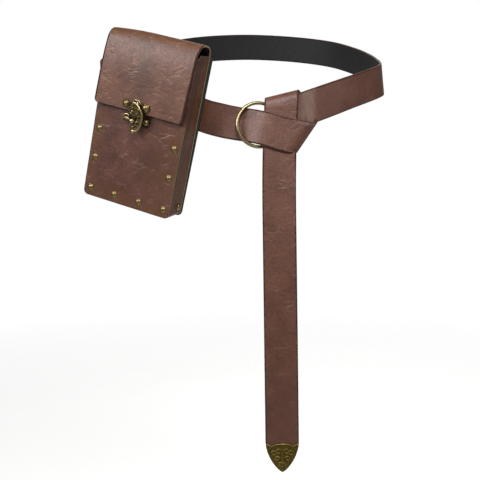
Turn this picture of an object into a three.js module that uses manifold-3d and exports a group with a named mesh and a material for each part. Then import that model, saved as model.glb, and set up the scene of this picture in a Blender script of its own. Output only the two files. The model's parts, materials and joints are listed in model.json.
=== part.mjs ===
// A medieval belt pouch riding on a ring belt. The long strap runs round the waist, through the
// loops on the back of the pouch and through a brass ring, is folded into a knot and hangs down.
// Millimetres. X points right, Y away from the viewer, Z up. The origin is the middle of the waist.
import * as THREE from 'three';
import { mergeVertices } from 'three/addons/utils/BufferGeometryUtils.js';
import Module from 'manifold-3d';

const wasm = await Module();
wasm.setup();

// Clearance between pieces that touch, and how far a hole's drill runs past the leather
const GAP = 0.3;
const DRILL = 9;

// Belt strap
const STRAP_WIDTH = 37.5;
const STRAP_THICKNESS = 2.8;
const TAIL_LENGTH = 413;
const TAIL_BACK_DRIFT = 10;

// Waist that the strap runs round
const WAIST_WIDTH = 348;
const WAIST_DEPTH = 349;
const WAIST_RISE = 64;
const STRAP_STEP = 11;

// Where the pouch's belt line and the ring's middle sit on the waist, as shares of its half width,
// half depth and rise
const POUCH_PLACE = { x: -0.559, y: -0.839, z: -0.559 };
const RING_PLACE = { x: 0.098, y: -0.976, z: -1.03 };

// Knot
const WRAP_ANGLE = -8.5;
const BACK_ANGLE = 120.3;
const TAIL_ANGLE = -92.6;
const TAIL_END_ANGLE = -89.2;
const PULL_ANGLE = 19.5;
const KNOT_LEAN = 6;
const WRAP_FOLD_RIGHT = 54;
const WRAP_FOLD_DROP = 13.9;
const BACK_RUN = 33;

// Ring
const RING_OUTER = 53.5;
const RING_WIRE = 4;
const RING_TILT = 12;

// Turned end of the strap that holds the ring
const EYE_WIDTH = 26;
const EYE_RETURN = 24;
const EYE_TAPER = 18;

// Strap tip
const TIP_LENGTH = 32.3;
const TIP_WALL = 0.8;
const TIP_SCALLOP = 3;
const TIP_SHOULDER = 1.2;
const STRAP_IN_TIP = 0.5;

// Pouch body
const BODY_WIDTH = 112;
const BODY_HEIGHT = 183;
const GUSSET_DEPTH = 27;
const LEATHER = 2;
const BACKING = 2.8;
const BACKING_BELOW_TOP = 2;
const FRONT_HEIGHT = 172;
const FRONT_CROWN = 1.2;
const TOP_TUCK = 5;
const CORNER_RADIUS = 6;
const GUSSET_CREASE = 2.4;
const POUCH_YAW = -20.2;
const POUCH_ROLL = 14.8;
const POUCH_LEAN = 5.9;

// Flap and the roll over the top
const FLAP_WIDTH = 110.6;
const FLAP_SHIFT = -1.5;
const FLAP_LIFT = 3.4;
const FLAP_BOTTOM = 108;
const FLAP_CORNER = 5;
const ROLL_HEIGHT = 11.5;
const ROLL_CREST = 14;
const ROLL_SAG = 3.7;
const ROLL_FRONT_HANDLE = 12;
const ROLL_BACK_HANDLE = 10;
const FLAP_BULGE = 2.2;
const FLAP_BULGE_DROP = 15;
const BACK_BEND_START = 0.5;
const BACK_BEND_RISE = 7;

// Belt line behind the pouch, and the loops that hold the strap there
const BELT_BELOW_TOP = 60.5;
const BELT_HEIGHT = BODY_HEIGHT - BELT_BELOW_TOP;
const BELT_SLOPE = 4.5;
const LOOP_WIDTH = 22;
const LOOP_THICKNESS = 1.6;
const LOOP_SPACING = 52;
const LOOP_SLACK = 6;
const LOOP_CLEAR = 1.3;
const LOOP_FOOT = 13;
const LOOP_CROWN = 0.6;

// Rivets
const RIVET_HEAD = 3.5;
const RIVET_DOME = 1.7;
const RIVET_SHANK = 1.4;
const RIVET_BURR = 1.2;
const RIVET_BURR_SHARE = 0.7;
const RIVET_INSET = 8.3;
const RIVET_BOTTOM = 9.4;
const RIVET_ROWS = [36.5, 33.5];
const RIVET_COLUMNS = 4;

// Clasp
const CLASP_X = 53.6;
const CLASP_PIVOT_ABOVE_EDGE = 9.4;
const PLATE = 1.2;
const PLATE_LOBE = 5;
const PLATE_SPAN = 24.6;
const UPPER_RIVET_DROP = 1.8;
const UPPER_RIVET_SHIFT = -1.5;
const FLAP_SLOPE_SLACK = 0.5;
const CLASP_DOME = 3.6;
const CLASP_DOME_HEIGHT = 2.4;
const PIVOT_BOSS = 3.2;
const PIVOT_STUD = 1.5;
const PIVOT_CAP = 2.7;
const HOOK_THICKNESS = 1.8;
const HOOK_RADIUS = 13;
const HOOK_RIM = 2.6;
const HOOK_EYE = 4.3;
const HOOK_BALL = 2.2;
const KNOB_DROP = 17.8;
const KNOB_RADIUS = 2.3;
const KNOB_HEAD = 3;

const rad = THREE.MathUtils.degToRad;
const V = (x, y, z) => new THREE.Vector3(x, y, z);

// Materials
const brownLeather = new THREE.MeshStandardMaterial({ color: '#6b4a3f', roughness: 0.55 });
const blackBacking = new THREE.MeshStandardMaterial({ color: '#262524', roughness: 0.7 });
const beltLeather = new THREE.MeshStandardMaterial({ color: '#6a4a40', roughness: 0.5 });
const brass = new THREE.MeshStandardMaterial({ color: '#8a7a50', roughness: 0.4, metalness: 1 });

const part = new THREE.Group();

function addMesh(parent, name, geometry, material) {
  const mesh = new THREE.Mesh(geometry, material);
  mesh.name = name;
  parent.add(mesh);
  return mesh;
}

// Closed solid of one geometry, for a cut or a join
function solid(geometry) {
  const bare = new THREE.BufferGeometry();
  bare.setAttribute('position', geometry.getAttribute('position').clone());
  if (geometry.index) bare.setIndex(geometry.index.clone());
  const merged = mergeVertices(bare, 1e-4);
  const triangles = [];
  for (let i = 0; i < merged.index.count; i += 3) {
    const [a, b, c] = [0, 1, 2].map((k) => merged.index.getX(i + k));
    if (a !== b && b !== c && a !== c) triangles.push(a, b, c);
  }
  return new wasm.Manifold(new wasm.Mesh({
    numProp: 3,
    vertProperties: new Float32Array(merged.getAttribute('position').array),
    triVerts: new Uint32Array(triangles),
  }));
}

function geometryOf(manifold) {
  const mesh = manifold.getMesh();
  const geometry = new THREE.BufferGeometry();
  geometry.setAttribute('position', new THREE.BufferAttribute(new Float32Array(mesh.vertProperties), 3));
  geometry.setIndex(Array.from(mesh.triVerts));
  geometry.computeVertexNormals();
  return geometry;
}

function join(geometries) {
  return geometryOf(geometries.map(solid).reduce((whole, piece) => whole.add(piece)));
}

function cut(geometry, tools) {
  return geometryOf(tools.map(solid).reduce((whole, tool) => whole.subtract(tool), solid(geometry)));
}

// Leather sheet through rows of points on its middle surface, one closed body of even thickness
function sheet(rows, thickness) {
  const n = rows.length;
  const m = rows[0].length;
  const top = [];
  const bottom = [];
  for (let i = 0; i < n; i++) {
    for (let j = 0; j < m; j++) {
      const along = rows[Math.min(i + 1, n - 1)][j].clone().sub(rows[Math.max(i - 1, 0)][j]);
      const across = rows[i][Math.min(j + 1, m - 1)].clone().sub(rows[i][Math.max(j - 1, 0)]);
      const normal = along.cross(across).normalize().multiplyScalar(thickness / 2);
      top.push(rows[i][j].clone().add(normal));
      bottom.push(rows[i][j].clone().sub(normal));
    }
  }
  const index = [];
  const quad = (a, b, c, d) => index.push(a, b, c, a, c, d);
  const t = (i, j) => i * m + j;
  const b = (i, j) => n * m + i * m + j;
  for (let i = 0; i < n - 1; i++) {
    for (let j = 0; j < m - 1; j++) {
      quad(t(i, j), t(i + 1, j), t(i + 1, j + 1), t(i, j + 1));
      quad(b(i, j), b(i, j + 1), b(i + 1, j + 1), b(i + 1, j));
    }
    quad(t(i, 0), b(i, 0), b(i + 1, 0), t(i + 1, 0));
    quad(t(i, m - 1), t(i + 1, m - 1), b(i + 1, m - 1), b(i, m - 1));
  }
  for (let j = 0; j < m - 1; j++) {
    quad(t(0, j), t(0, j + 1), b(0, j + 1), b(0, j));
    quad(t(n - 1, j), b(n - 1, j), b(n - 1, j + 1), t(n - 1, j + 1));
  }
  const geometry = new THREE.BufferGeometry().setFromPoints([...top, ...bottom]);
  geometry.setIndex(index);
  geometry.computeVertexNormals();
  return geometry;
}

// Flat plate from a shape drawn in X and Z, from y0 towards the viewer
function plate(shape, thickness, y0, curveSegments = 10) {
  const options = { depth: thickness, bevelEnabled: false, curveSegments };
  const geometry = new THREE.ExtrudeGeometry(shape, options);
  geometry.rotateX(Math.PI / 2);
  geometry.translate(0, y0, 0);
  return geometry;
}

function disc(x, z, radius) {
  return new THREE.Shape().absarc(x, z, radius, 0, Math.PI * 2);
}

// Round bar along Y, for a hole or a post
function bar(x, z, radius, y0, y1, sides = 12) {
  const geometry = new THREE.CylinderGeometry(radius, radius, Math.abs(y1 - y0), sides);
  geometry.translate(x, (y0 + y1) / 2, z);
  return geometry;
}

// A point of the waist from its shares of half the width, half the depth and the rise
function waistPoint({ x, y, z }) {
  return V(x * WAIST_WIDTH / 2, y * WAIST_DEPTH / 2, z * WAIST_RISE);
}

// POUCH
// Local axes: X along the front from the left side, Y inwards from the front face, Z up the body

const BACK_Y = LEATHER + GAP + GUSSET_DEPTH + GAP;
const BACKING_Y = BACK_Y + LEATHER + GAP;
const REAR_Y = BACKING_Y + BACKING;
const BELT_Y = REAR_Y + GAP + STRAP_THICKNESS / 2 + 0.2;

const pouch = new THREE.Group();
const pouchBody = new THREE.Group();
pouchBody.position.set(-BODY_WIDTH / 2, -BELT_Y, -BELT_HEIGHT);
pouch.add(pouchBody);
pouch.rotation.set(rad(POUCH_LEAN), rad(POUCH_ROLL), rad(POUCH_YAW), 'ZYX');
pouch.position.copy(waistPoint(POUCH_PLACE));
part.add(pouch);

// Front panel: a flat sheet, slightly crowned, with rounded lower corners

function topTuck(z) {
  const share = Math.max(0, z / BODY_HEIGHT - 0.74) / 0.26;
  return TOP_TUCK * share * share;
}

function frontY(x, z) {
  const u = (2 * x) / BODY_WIDTH - 1;
  const v = (2 * z) / FRONT_HEIGHT - 1;
  return topTuck(z) - FRONT_CROWN * (1 - u * u) * (1 - v * v);
}

function cornerInset(height, radius) {
  if (height >= radius) return 0;
  return radius - Math.sqrt(radius * radius - (radius - height) ** 2);
}

function frontPanel() {
  const rows = [];
  const heights = [0, 0.2, 0.6, 1].map((share) => share * CORNER_RADIUS);
  for (let i = 1; i <= 6; i++) heights.push(CORNER_RADIUS + (i / 6) * (FRONT_HEIGHT - CORNER_RADIUS));
  for (const z of heights) {
    const inset = cornerInset(z, CORNER_RADIUS);
    const row = [];
    for (let j = 0; j <= 6; j++) {
      const x = inset + (j / 6) * (BODY_WIDTH - 2 * inset);
      row.push(V(x, LEATHER / 2 + frontY(x, z), z));
    }
    rows.push(row);
  }
  rows.reverse();
  return sheet(rows, LEATHER);
}

// Brass rivet: dome outside, shank through the leather and a burr inside. Its head faces +Y

function rivetGeometry(grip, head, dome) {
  const burr = head * RIVET_BURR_SHARE;
  const profile = [[0, -grip - RIVET_BURR], [burr, -grip - RIVET_BURR], [burr, -grip - GAP]];
  profile.push([RIVET_SHANK, -grip - GAP], [RIVET_SHANK, 0], [head, 0]);
  for (const turn of [20, 42, 66]) {
    profile.push([head * Math.cos(rad(turn)), dome * Math.sin(rad(turn))]);
  }
  profile.push([0, dome]);
  return new THREE.LatheGeometry(profile.map(([x, y]) => new THREE.Vector2(x, y)), 12);
}

function addRivet(name, x, y, z, turnX, turnZ, grip, head = RIVET_HEAD, dome = RIVET_DOME) {
  const rivet = addMesh(pouchBody, name, rivetGeometry(grip, head, dome), brass);
  rivet.rotation.set(turnX, 0, turnZ);
  rivet.position.set(x, y, z);
}

// Places of the front rivets: up the left side, along the bottom, up the right side

function frontRivetPlaces() {
  const places = [];
  const heights = [RIVET_BOTTOM];
  for (const row of RIVET_ROWS) heights.push(heights[heights.length - 1] + row);
  for (const z of heights.slice(1).reverse()) places.push([RIVET_INSET, z]);
  for (let k = 0; k < RIVET_COLUMNS; k++) {
    const share = k / (RIVET_COLUMNS - 1);
    places.push([RIVET_INSET + share * (BODY_WIDTH - 2 * RIVET_INSET), RIVET_BOTTOM]);
  }
  for (const z of heights.slice(1)) places.push([BODY_WIDTH - RIVET_INSET, z]);
  return places;
}

const HOLE = RIVET_SHANK + GAP;
const lowerPlateZ = FLAP_BOTTOM + CLASP_PIVOT_ABOVE_EDGE - KNOB_DROP;
const claspHoles = [CLASP_X - PLATE_SPAN / 2, CLASP_X + PLATE_SPAN / 2];
const frontHoles = frontRivetPlaces().map(([x, z]) => bar(x, z, HOLE, -DRILL, DRILL));
for (const x of claspHoles) frontHoles.push(bar(x, lowerPlateZ, HOLE, -DRILL, DRILL));
addMesh(pouchBody, 'front_panel', cut(frontPanel(), frontHoles), brownLeather);
frontRivetPlaces().forEach(([x, z], k) => {
  addRivet(`front_rivet_${k + 1}`, x, frontY(x, z) - GAP, z, Math.PI, 0, LEATHER + GAP);
});

// Gusset: one strip down the left side, along the bottom and up the right side, creased inwards

function creaseDepth(share, z) {
  const full = Math.min(1, Math.max(0, (z - LEATHER / 2) / (3 * CORNER_RADIUS)));
  return GUSSET_CREASE * full * (1 - Math.abs(2 * share - 1)) ** 1.5;
}

function gusset() {
  const half = LEATHER / 2;
  const radius = CORNER_RADIUS - half;
  const path = [];
  for (const share of [1, 0.75, 0.5, 0.25, 0]) {
    path.push([half, CORNER_RADIUS + share * (BODY_HEIGHT - CORNER_RADIUS), -1, 0]);
  }
  for (const turn of [22.5, 45, 67.5]) {
    path.push([
      CORNER_RADIUS - radius * Math.cos(rad(turn)),
      CORNER_RADIUS - radius * Math.sin(rad(turn)),
      -Math.cos(rad(turn)),
      -Math.sin(rad(turn)),
    ]);
  }
  path.push([CORNER_RADIUS, half, 0, -1], [BODY_WIDTH / 2, half, 0, -1]);
  const right = path.slice(0, -1).reverse().map(([x, z, ox, oz]) => [BODY_WIDTH - x, z, -ox, oz]);
  const rows = [...path, ...right].map(([x, z, ox, oz]) => {
    const front = LEATHER + GAP + topTuck(z);
    const rear = LEATHER + GAP + GUSSET_DEPTH;
    return [0, 0.25, 0.5, 0.75, 1].map((share) => {
      const depth = creaseDepth(share, z);
      return V(x - ox * depth, front + share * (rear - front), z - oz * depth);
    });
  });
  return sheet(rows, LEATHER);
}

const GUSSET_RIVET_SHARE = 0.75;
const gussetRivetY = LEATHER + GAP + GUSSET_RIVET_SHARE * GUSSET_DEPTH;
const gussetRivetZ = RIVET_BOTTOM + 2;
const gussetHole = new THREE.CylinderGeometry(HOLE, HOLE, BODY_WIDTH + 2 * DRILL, 12);
gussetHole.rotateZ(Math.PI / 2);
gussetHole.translate(BODY_WIDTH / 2, gussetRivetY, gussetRivetZ);
addMesh(pouchBody, 'gusset', cut(gusset(), [gussetHole]), brownLeather);
for (const [name, x, turn] of [['left', -GAP, Math.PI / 2], ['right', BODY_WIDTH + GAP, -Math.PI / 2]]) {
  const sunk = creaseDepth(GUSSET_RIVET_SHARE - RIVET_HEAD / GUSSET_DEPTH, gussetRivetZ);
  addRivet(`gusset_rivet_${name}`, x, gussetRivetY, gussetRivetZ, 0, turn, LEATHER + GAP + sunk);
}

// Back and flap: one piece of leather, up the back, over the top in an open roll and down the front.
// Its curves run along the middle of the leather, as [y, z]

const backMiddle = BACK_Y + LEATHER / 2;
const crestZ = BODY_HEIGHT + ROLL_HEIGHT - LEATHER / 2;
const flapLine = new THREE.CubicBezierCurve(
  new THREE.Vector2(ROLL_CREST, crestZ),
  new THREE.Vector2(ROLL_CREST - ROLL_FRONT_HANDLE, crestZ),
  new THREE.Vector2(-FLAP_BULGE, BODY_HEIGHT - FLAP_BULGE_DROP),
  new THREE.Vector2(-FLAP_LIFT - LEATHER / 2, FLAP_BOTTOM),
);
const backBend = new THREE.CubicBezierCurve(
  new THREE.Vector2(backMiddle, BODY_HEIGHT - BACK_BEND_START),
  new THREE.Vector2(backMiddle, BODY_HEIGHT + BACK_BEND_RISE),
  new THREE.Vector2(ROLL_CREST + ROLL_BACK_HANDLE, crestZ),
  new THREE.Vector2(ROLL_CREST, crestZ),
);

function flapOuterY(z) {
  const points = flapLine.getPoints(60);
  const nearest = points.reduce((a, b) => (Math.abs(a.y - z) < Math.abs(b.y - z) ? a : b));
  return nearest.x - LEATHER / 2;
}

function rollSag(x, z) {
  const left = Math.max(0, 1 - (2 * x) / BODY_WIDTH);
  const high = Math.max(0, (z - BODY_HEIGHT) / ROLL_HEIGHT);
  return ROLL_SAG * left * left * high;
}

// Rows of [y, z, left edge, right edge] along the middle of the leather
function backAndFlapRows() {
  const lines = [];
  for (const share of [0, 0.2, 0.6, 1]) {
    const inset = cornerInset(share * CORNER_RADIUS, CORNER_RADIUS);
    lines.push([backMiddle, share * CORNER_RADIUS, inset, BODY_WIDTH - inset]);
  }
  for (const share of [0.33, 0.66]) {
    lines.push([backMiddle, share * (BODY_HEIGHT - 4), 0, BODY_WIDTH]);
  }
  for (const p of backBend.getPoints(8)) lines.push([p.x, p.y, 0, BODY_WIDTH]);
  const left = BODY_WIDTH / 2 + FLAP_SHIFT - FLAP_WIDTH / 2;
  const right = left + FLAP_WIDTH;
  const shares = [0.08, 0.16, 0.24, 0.32, 0.4, 0.5, 0.62, 0.76, 0.88, 0.955, 0.98, 0.993, 1];
  for (const share of shares) {
    const p = flapLine.getPoint(share);
    const blend = Math.min(1, share / 0.4);
    const inset = cornerInset(p.y - FLAP_BOTTOM, FLAP_CORNER);
    lines.push([p.x, p.y, left * blend + inset, BODY_WIDTH + (right - BODY_WIDTH) * blend - inset]);
  }
  return lines.map(([y, z, x0, x1]) => {
    const row = [];
    for (let j = 0; j <= 6; j++) {
      const x = x0 + (j / 6) * (x1 - x0);
      row.push(V(x, y, z - rollSag(x, z)));
    }
    return row;
  });
}

const pivotZ = FLAP_BOTTOM + CLASP_PIVOT_ABOVE_EDGE;
const loopRivetAway = STRAP_WIDTH / 2 + LOOP_SLACK + LOOP_FOOT / 2 + 1;
const loopRivetZ = [-1, 1].map((way) => BELT_HEIGHT + way * loopRivetAway);
const loopPlaces = [-1, 1].map((way) => BODY_WIDTH / 2 + way * LOOP_SPACING / 2);
const loopHoles = loopPlaces.flatMap((x) => (
  loopRivetZ.map((z) => bar(x, z, HOLE, BACK_Y - DRILL, REAR_Y + DRILL))
));
const upperRivetZ = pivotZ - UPPER_RIVET_DROP;
const upperHoles = claspHoles.map((x) => x + UPPER_RIVET_SHIFT);
const flapHoles = upperHoles.map((x) => bar(x, upperRivetZ, HOLE, -DRILL, DRILL));
const backAndFlap = cut(sheet(backAndFlapRows(), LEATHER), [...loopHoles, ...flapHoles]);
addMesh(pouchBody, 'back_flap', backAndFlap, brownLeather);

// Black backing behind the back panel, its edge showing beside the gusset

function backingRows() {
  const top = BODY_HEIGHT - BACKING_BELOW_TOP;
  const middle = BACKING_Y + BACKING / 2;
  const heights = [0, 0.2, 0.6, 1].map((share) => share * CORNER_RADIUS);
  heights.push(top / 2, top);
  return heights.map((z) => {
    const inset = cornerInset(z, CORNER_RADIUS);
    return [0, 0.5, 1].map((share) => V(inset + share * (BODY_WIDTH - 2 * inset), middle, z));
  });
}

addMesh(pouchBody, 'back_lining', cut(sheet(backingRows(), BACKING), loopHoles), blackBacking);

// Belt loops: two straps on the back, open for the belt, riveted above and below it

function beltLoop(x0) {
  const foot = REAR_Y + GAP + LOOP_THICKNESS / 2;
  const out = BELT_Y + STRAP_THICKNESS / 2 + LOOP_CLEAR + LOOP_THICKNESS / 2;
  const open = STRAP_WIDTH / 2 + LOOP_SLACK;
  // Half of the loop's profile, from the end of its foot to its crown, as [away from the belt line, y]
  const side = [
    [open + LOOP_FOOT + 1, foot],
    [open + LOOP_FOOT * 0.5, foot],
    [open + 1, foot],
    [open - 1.5, foot + (out - foot) * 0.35],
    [open - 3.5, out],
    [open * 0.4, out + LOOP_CROWN],
  ];
  const outline = [...side.map(([z, y]) => [-z, y]), ...side.slice().reverse()];
  const rows = outline.map(([z, y]) => (
    [-1, 0, 1].map((way) => V(x0 + way * LOOP_WIDTH / 2, y, BELT_HEIGHT + z))
  ));
  return sheet(rows, LOOP_THICKNESS);
}

['left', 'right'].forEach((name, k) => {
  const x = loopPlaces[k];
  const holes = loopRivetZ.map((z) => bar(x, z, HOLE, REAR_Y - DRILL, REAR_Y + DRILL));
  addMesh(pouchBody, `belt_loop_${name}`, cut(beltLoop(x), holes), brownLeather);
  const grip = REAR_Y + GAP + LOOP_THICKNESS - BACK_Y + GAP;
  ['lower', 'upper'].forEach((place, row) => {
    addRivet(`loop_rivet_${name}_${place}`, x, BACK_Y + grip, loopRivetZ[row], 0, 0, grip);
  });
});

// CLASP: upper plate with its pivot stud, swing hook, lower plate with its catch knob

const upperBack = flapOuterY(upperRivetZ - PLATE_LOBE) - GAP;
const upperFront = upperBack - PLATE;
const hookBack = upperFront - GAP - CLASP_DOME_HEIGHT - GAP;
const hookFront = hookBack - HOOK_THICKNESS;
const lowerBack = frontY(CLASP_X, lowerPlateZ) - GAP;
const lowerFront = lowerBack - PLATE;

function claspPlate([left, right], z, back, lobe) {
  const ends = [left, right].map((x) => plate(disc(x, z, PLATE_LOBE), PLATE, back));
  const low = z - PLATE_LOBE / 2;
  const high = z + PLATE_LOBE / 2;
  const bridge = new THREE.Shape([
    new THREE.Vector2(left, low),
    new THREE.Vector2(right, low),
    new THREE.Vector2(right, high),
    new THREE.Vector2(left, high),
  ]);
  return [...ends, plate(bridge, PLATE, back), plate(disc(CLASP_X, z, lobe), PLATE, back)];
}

function plateHoles(places, z, back) {
  return places.map((x) => bar(x, z, HOLE, back - DRILL, back + DRILL));
}

const upperPlate = join([
  ...claspPlate(upperHoles, upperRivetZ, upperBack, PLATE_LOBE + 0.6),
  bar(CLASP_X, pivotZ, PIVOT_BOSS, upperBack, hookBack + GAP, 16),
  bar(CLASP_X, pivotZ, PIVOT_STUD, upperBack, hookFront - GAP - 0.4, 16),
  bar(CLASP_X, pivotZ, PIVOT_CAP, hookFront - GAP, hookFront - GAP - 1.1, 16),
]);
const upperCast = cut(upperPlate, plateHoles(upperHoles, upperRivetZ, upperBack));
addMesh(pouchBody, 'clasp_upper_plate', upperCast, brass);

const knobHead = new THREE.SphereGeometry(KNOB_HEAD, 14, 10);
knobHead.translate(CLASP_X, hookFront - 0.9, lowerPlateZ);
const lowerPlate = join([
  ...claspPlate(claspHoles, lowerPlateZ, lowerBack, PLATE_LOBE),
  bar(CLASP_X, lowerPlateZ, KNOB_RADIUS, lowerBack, hookFront - 0.9, 14),
  knobHead,
]);
const lowerCast = cut(lowerPlate, plateHoles(claspHoles, lowerPlateZ, lowerBack));
addMesh(pouchBody, 'clasp_lower_plate', lowerCast, brass);

const claspRows = [
  ['upper', upperHoles, upperFront - GAP, upperRivetZ, PLATE + 2 * GAP + LEATHER + FLAP_SLOPE_SLACK],
  ['lower', claspHoles, lowerFront - GAP, lowerPlateZ, PLATE + 2 * GAP + LEATHER],
];
for (const [row, places, y, z, grip] of claspRows) {
  ['left', 'right'].forEach((side, k) => {
    const name = `clasp_rivet_${row}_${side}`;
    addRivet(name, places[k], y, z, Math.PI, 0, grip, CLASP_DOME, CLASP_DOME_HEIGHT);
  });
}

// Swing hook: a crescent rim round the knob with pierced scroll lobes inside it and a ball at its end

// Places on the hook are in mm from its pivot, [right, up], with a radius for the round ones
const RIM_MIDDLE = [-1.8, -15.5];
const RIM_START = rad(-74);
const RIM_END = rad(76);
const HOOK_LOBES = [
  [3.6, -7.6, 4.6],
  [-3.4, -7, 3.2],
  [7.4, -17.2, 3.2],
  [5.2, -24.4, 4.2],
  [-0.6, -25.4, 2.6],
];
const HOOK_EYES = [
  [3.8, -8, 1.9],
  [-3.6, -7.2, 1.2],
  [5.4, -24.6, 1.6],
];
const BALL_PLACE = [1.6, -28.1];

function swingHook() {
  const at = (x, z) => [CLASP_X + x, pivotZ + z];
  const rim = new THREE.Shape();
  rim.absarc(...at(...RIM_MIDDLE), HOOK_RADIUS + HOOK_RIM / 2, RIM_START, RIM_END, false);
  rim.absarc(...at(...RIM_MIDDLE), HOOK_RADIUS - HOOK_RIM / 2, RIM_END, RIM_START, true);
  rim.closePath();
  const ball = new THREE.SphereGeometry(HOOK_BALL, 12, 8);
  const [ballX, ballZ] = at(...BALL_PLACE);
  ball.translate(ballX, hookBack - HOOK_THICKNESS / 2 - GAP, ballZ);
  const lobes = HOOK_LOBES.map(([x, z, r]) => (
    plate(disc(...at(x, z), r), HOOK_THICKNESS - 0.5, hookBack - 0.2, 7)
  ));
  const body = join([
    plate(disc(...at(0, 0), HOOK_EYE), HOOK_THICKNESS, hookBack),
    plate(rim, HOOK_THICKNESS, hookBack, 14),
    ...lobes,
    ball,
  ]);
  const holes = [
    bar(CLASP_X, pivotZ, PIVOT_STUD + GAP, hookFront - DRILL, hookBack + DRILL, 16),
    bar(CLASP_X, lowerPlateZ, KNOB_RADIUS + GAP, hookFront - DRILL, hookBack + DRILL, 14),
    ...HOOK_EYES.map(([x, z, r]) => bar(...at(x, z), r, hookFront - DRILL, hookBack + DRILL, 8)),
  ];
  return cut(body, holes);
}

addMesh(pouchBody, 'swing_hook', swingHook(), brass);

// BELT

part.updateMatrixWorld(true);
const knotFrame = new THREE.Group();
knotFrame.position.copy(waistPoint(RING_PLACE));
knotFrame.rotation.x = rad(-KNOT_LEAN);
part.add(knotFrame);
knotFrame.updateMatrixWorld(true);

// Layers of the knot, as distances towards the viewer from the right hand strap
const LAYER = STRAP_THICKNESS + GAP;
const TAIL_OUT = LAYER + 1.9;
const WRAP_OUT = TAIL_OUT + LAYER;
const EYE_CAVITY = RING_WIRE + 1.8;
const EYE_BEND = (EYE_CAVITY + STRAP_THICKNESS) / 2;
const RETURN_OUT = -2 * EYE_BEND;
const BACK_OUT = RETURN_OUT - LAYER;
const RING_RADIUS = (RING_OUTER - RING_WIRE) / 2;

const flat = (angle) => new THREE.Vector2(Math.cos(rad(angle)), Math.sin(rad(angle)));
const upright = (way) => new THREE.Vector2(-way.y, way.x);

// One ruling of the strap: its middle, and the vector from the middle to its first edge
function knotRuling(point, out, across) {
  const middle = V(point.x, -out, point.y).applyMatrix4(knotFrame.matrixWorld);
  const half = V(across.x, 0, across.y).transformDirection(knotFrame.matrixWorld);
  return { middle, half: half.multiplyScalar(across.length()) };
}

// A half turn over a diagonal fold, from one layer of the knot to another
function foldOver(start, way, across, wayOut, fromOut, toOut) {
  const line = way.clone().add(wayOut).normalize();
  if (line.dot(across) < 0) line.negate();
  const run = upright(line);
  if (run.dot(way) < 0) run.negate();
  const radius = Math.abs(fromOut - toOut) / 2;
  const slide = way.dot(line) / way.dot(run);
  const skew = STRAP_WIDTH / 2 / line.dot(across);
  const rulings = [];
  let end = start;
  for (let turn = 0; turn <= 180; turn += 15) {
    end = start.clone()
      .addScaledVector(run, radius * Math.sin(rad(turn)))
      .addScaledVector(line, radius * rad(turn) * slide);
    const out = (fromOut + toOut) / 2 + ((fromOut - toOut) / 2) * Math.cos(rad(turn));
    rulings.push(knotRuling(end, out, line.clone().multiplyScalar(skew)));
  }
  const acrossOut = line.clone().multiplyScalar(2 * across.dot(line)).sub(across);
  return { rulings, end, acrossOut, line, run, radius, slide };
}

const pull = flat(PULL_ANGLE);
const wrapWay = flat(WRAP_ANGLE);
const backWay = flat(BACK_ANGLE);
const tailWay = flat(TAIL_ANGLE);

// The turned end: from its cut edge behind the strap, round the ring's wire, and out to the right
function eyeRulings() {
  const bendAt = Math.sqrt(RING_RADIUS ** 2 - (EYE_WIDTH / 2) ** 2) - 0.8;
  const across = upright(pull);
  const list = [];
  const add = (u, out, width) => {
    list.push(knotRuling(pull.clone().multiplyScalar(u), out, across.clone().multiplyScalar(width / 2)));
  };
  add(bendAt + 8 + EYE_RETURN, -LAYER, EYE_WIDTH);
  add(bendAt + 6 + EYE_RETURN / 2, -LAYER, EYE_WIDTH);
  add(bendAt + 9, RETURN_OUT * 0.86, EYE_WIDTH);
  add(bendAt + 5, RETURN_OUT, EYE_WIDTH);
  for (let turn = 0; turn <= 180; turn += 20) {
    const out = RETURN_OUT / 2 - EYE_BEND * Math.cos(rad(turn));
    add(bendAt - EYE_BEND * Math.sin(rad(turn)), out, EYE_WIDTH);
  }
  add(bendAt + 4, 0, EYE_WIDTH);
  add(bendAt + 4 + EYE_TAPER / 2, 0, (EYE_WIDTH + STRAP_WIDTH) / 2);
  add(bendAt + 4 + EYE_TAPER, 0, STRAP_WIDTH);
  return list;
}

// Stations round the waist, from the right of the knot round the back to the pouch.
// x, y and z are shares of half the width, half the depth and the rise, lean is in degrees
const waistStations = [
  { x: 0.672, y: -0.774, z: -0.46, lean: -1.8 },
  { x: 0.95, y: -0.5, z: -0.155, lean: -2.2 },
  { x: 0.985, y: -0.3, z: -0.03, lean: -2.8 },
  { x: 0.998, y: -0.06, z: 0.11, lean: -3.5 },
  { x: 0.987, y: 0.158, z: 0.26, lean: -4.1 },
  { x: 0.909, y: 0.533, z: 0.54, lean: -5.9 },
  { x: 0.741, y: 0.83, z: 0.79, lean: -8.2 },
  { x: 0.439, y: 0.984, z: 0.95, lean: -10.6 },
  { x: 0.04, y: 0.981, z: 1, lean: -12.3 },
  { x: -0.344, y: 0.835, z: 0.9, lean: -12.6 },
  { x: -0.644, y: 0.56, z: 0.67, lean: -11.1 },
  { x: -0.864, y: 0.185, z: 0.375, lean: -8.2 },
  { x: -0.994, y: -0.213, z: 0.106, lean: -4.5 },
  { x: -0.972, y: -0.52, z: -0.12, lean: -1.1 },
];

function pouchBeltRuling(x) {
  const drop = Math.tan(rad(BELT_SLOPE));
  const middle = V(x, BELT_Y, BELT_HEIGHT - drop * (x - BODY_WIDTH / 2));
  middle.applyMatrix4(pouchBody.matrixWorld);
  const half = V(drop, 0, 1).transformDirection(pouchBody.matrixWorld);
  return { middle, half: half.multiplyScalar(STRAP_WIDTH / 2) };
}

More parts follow.
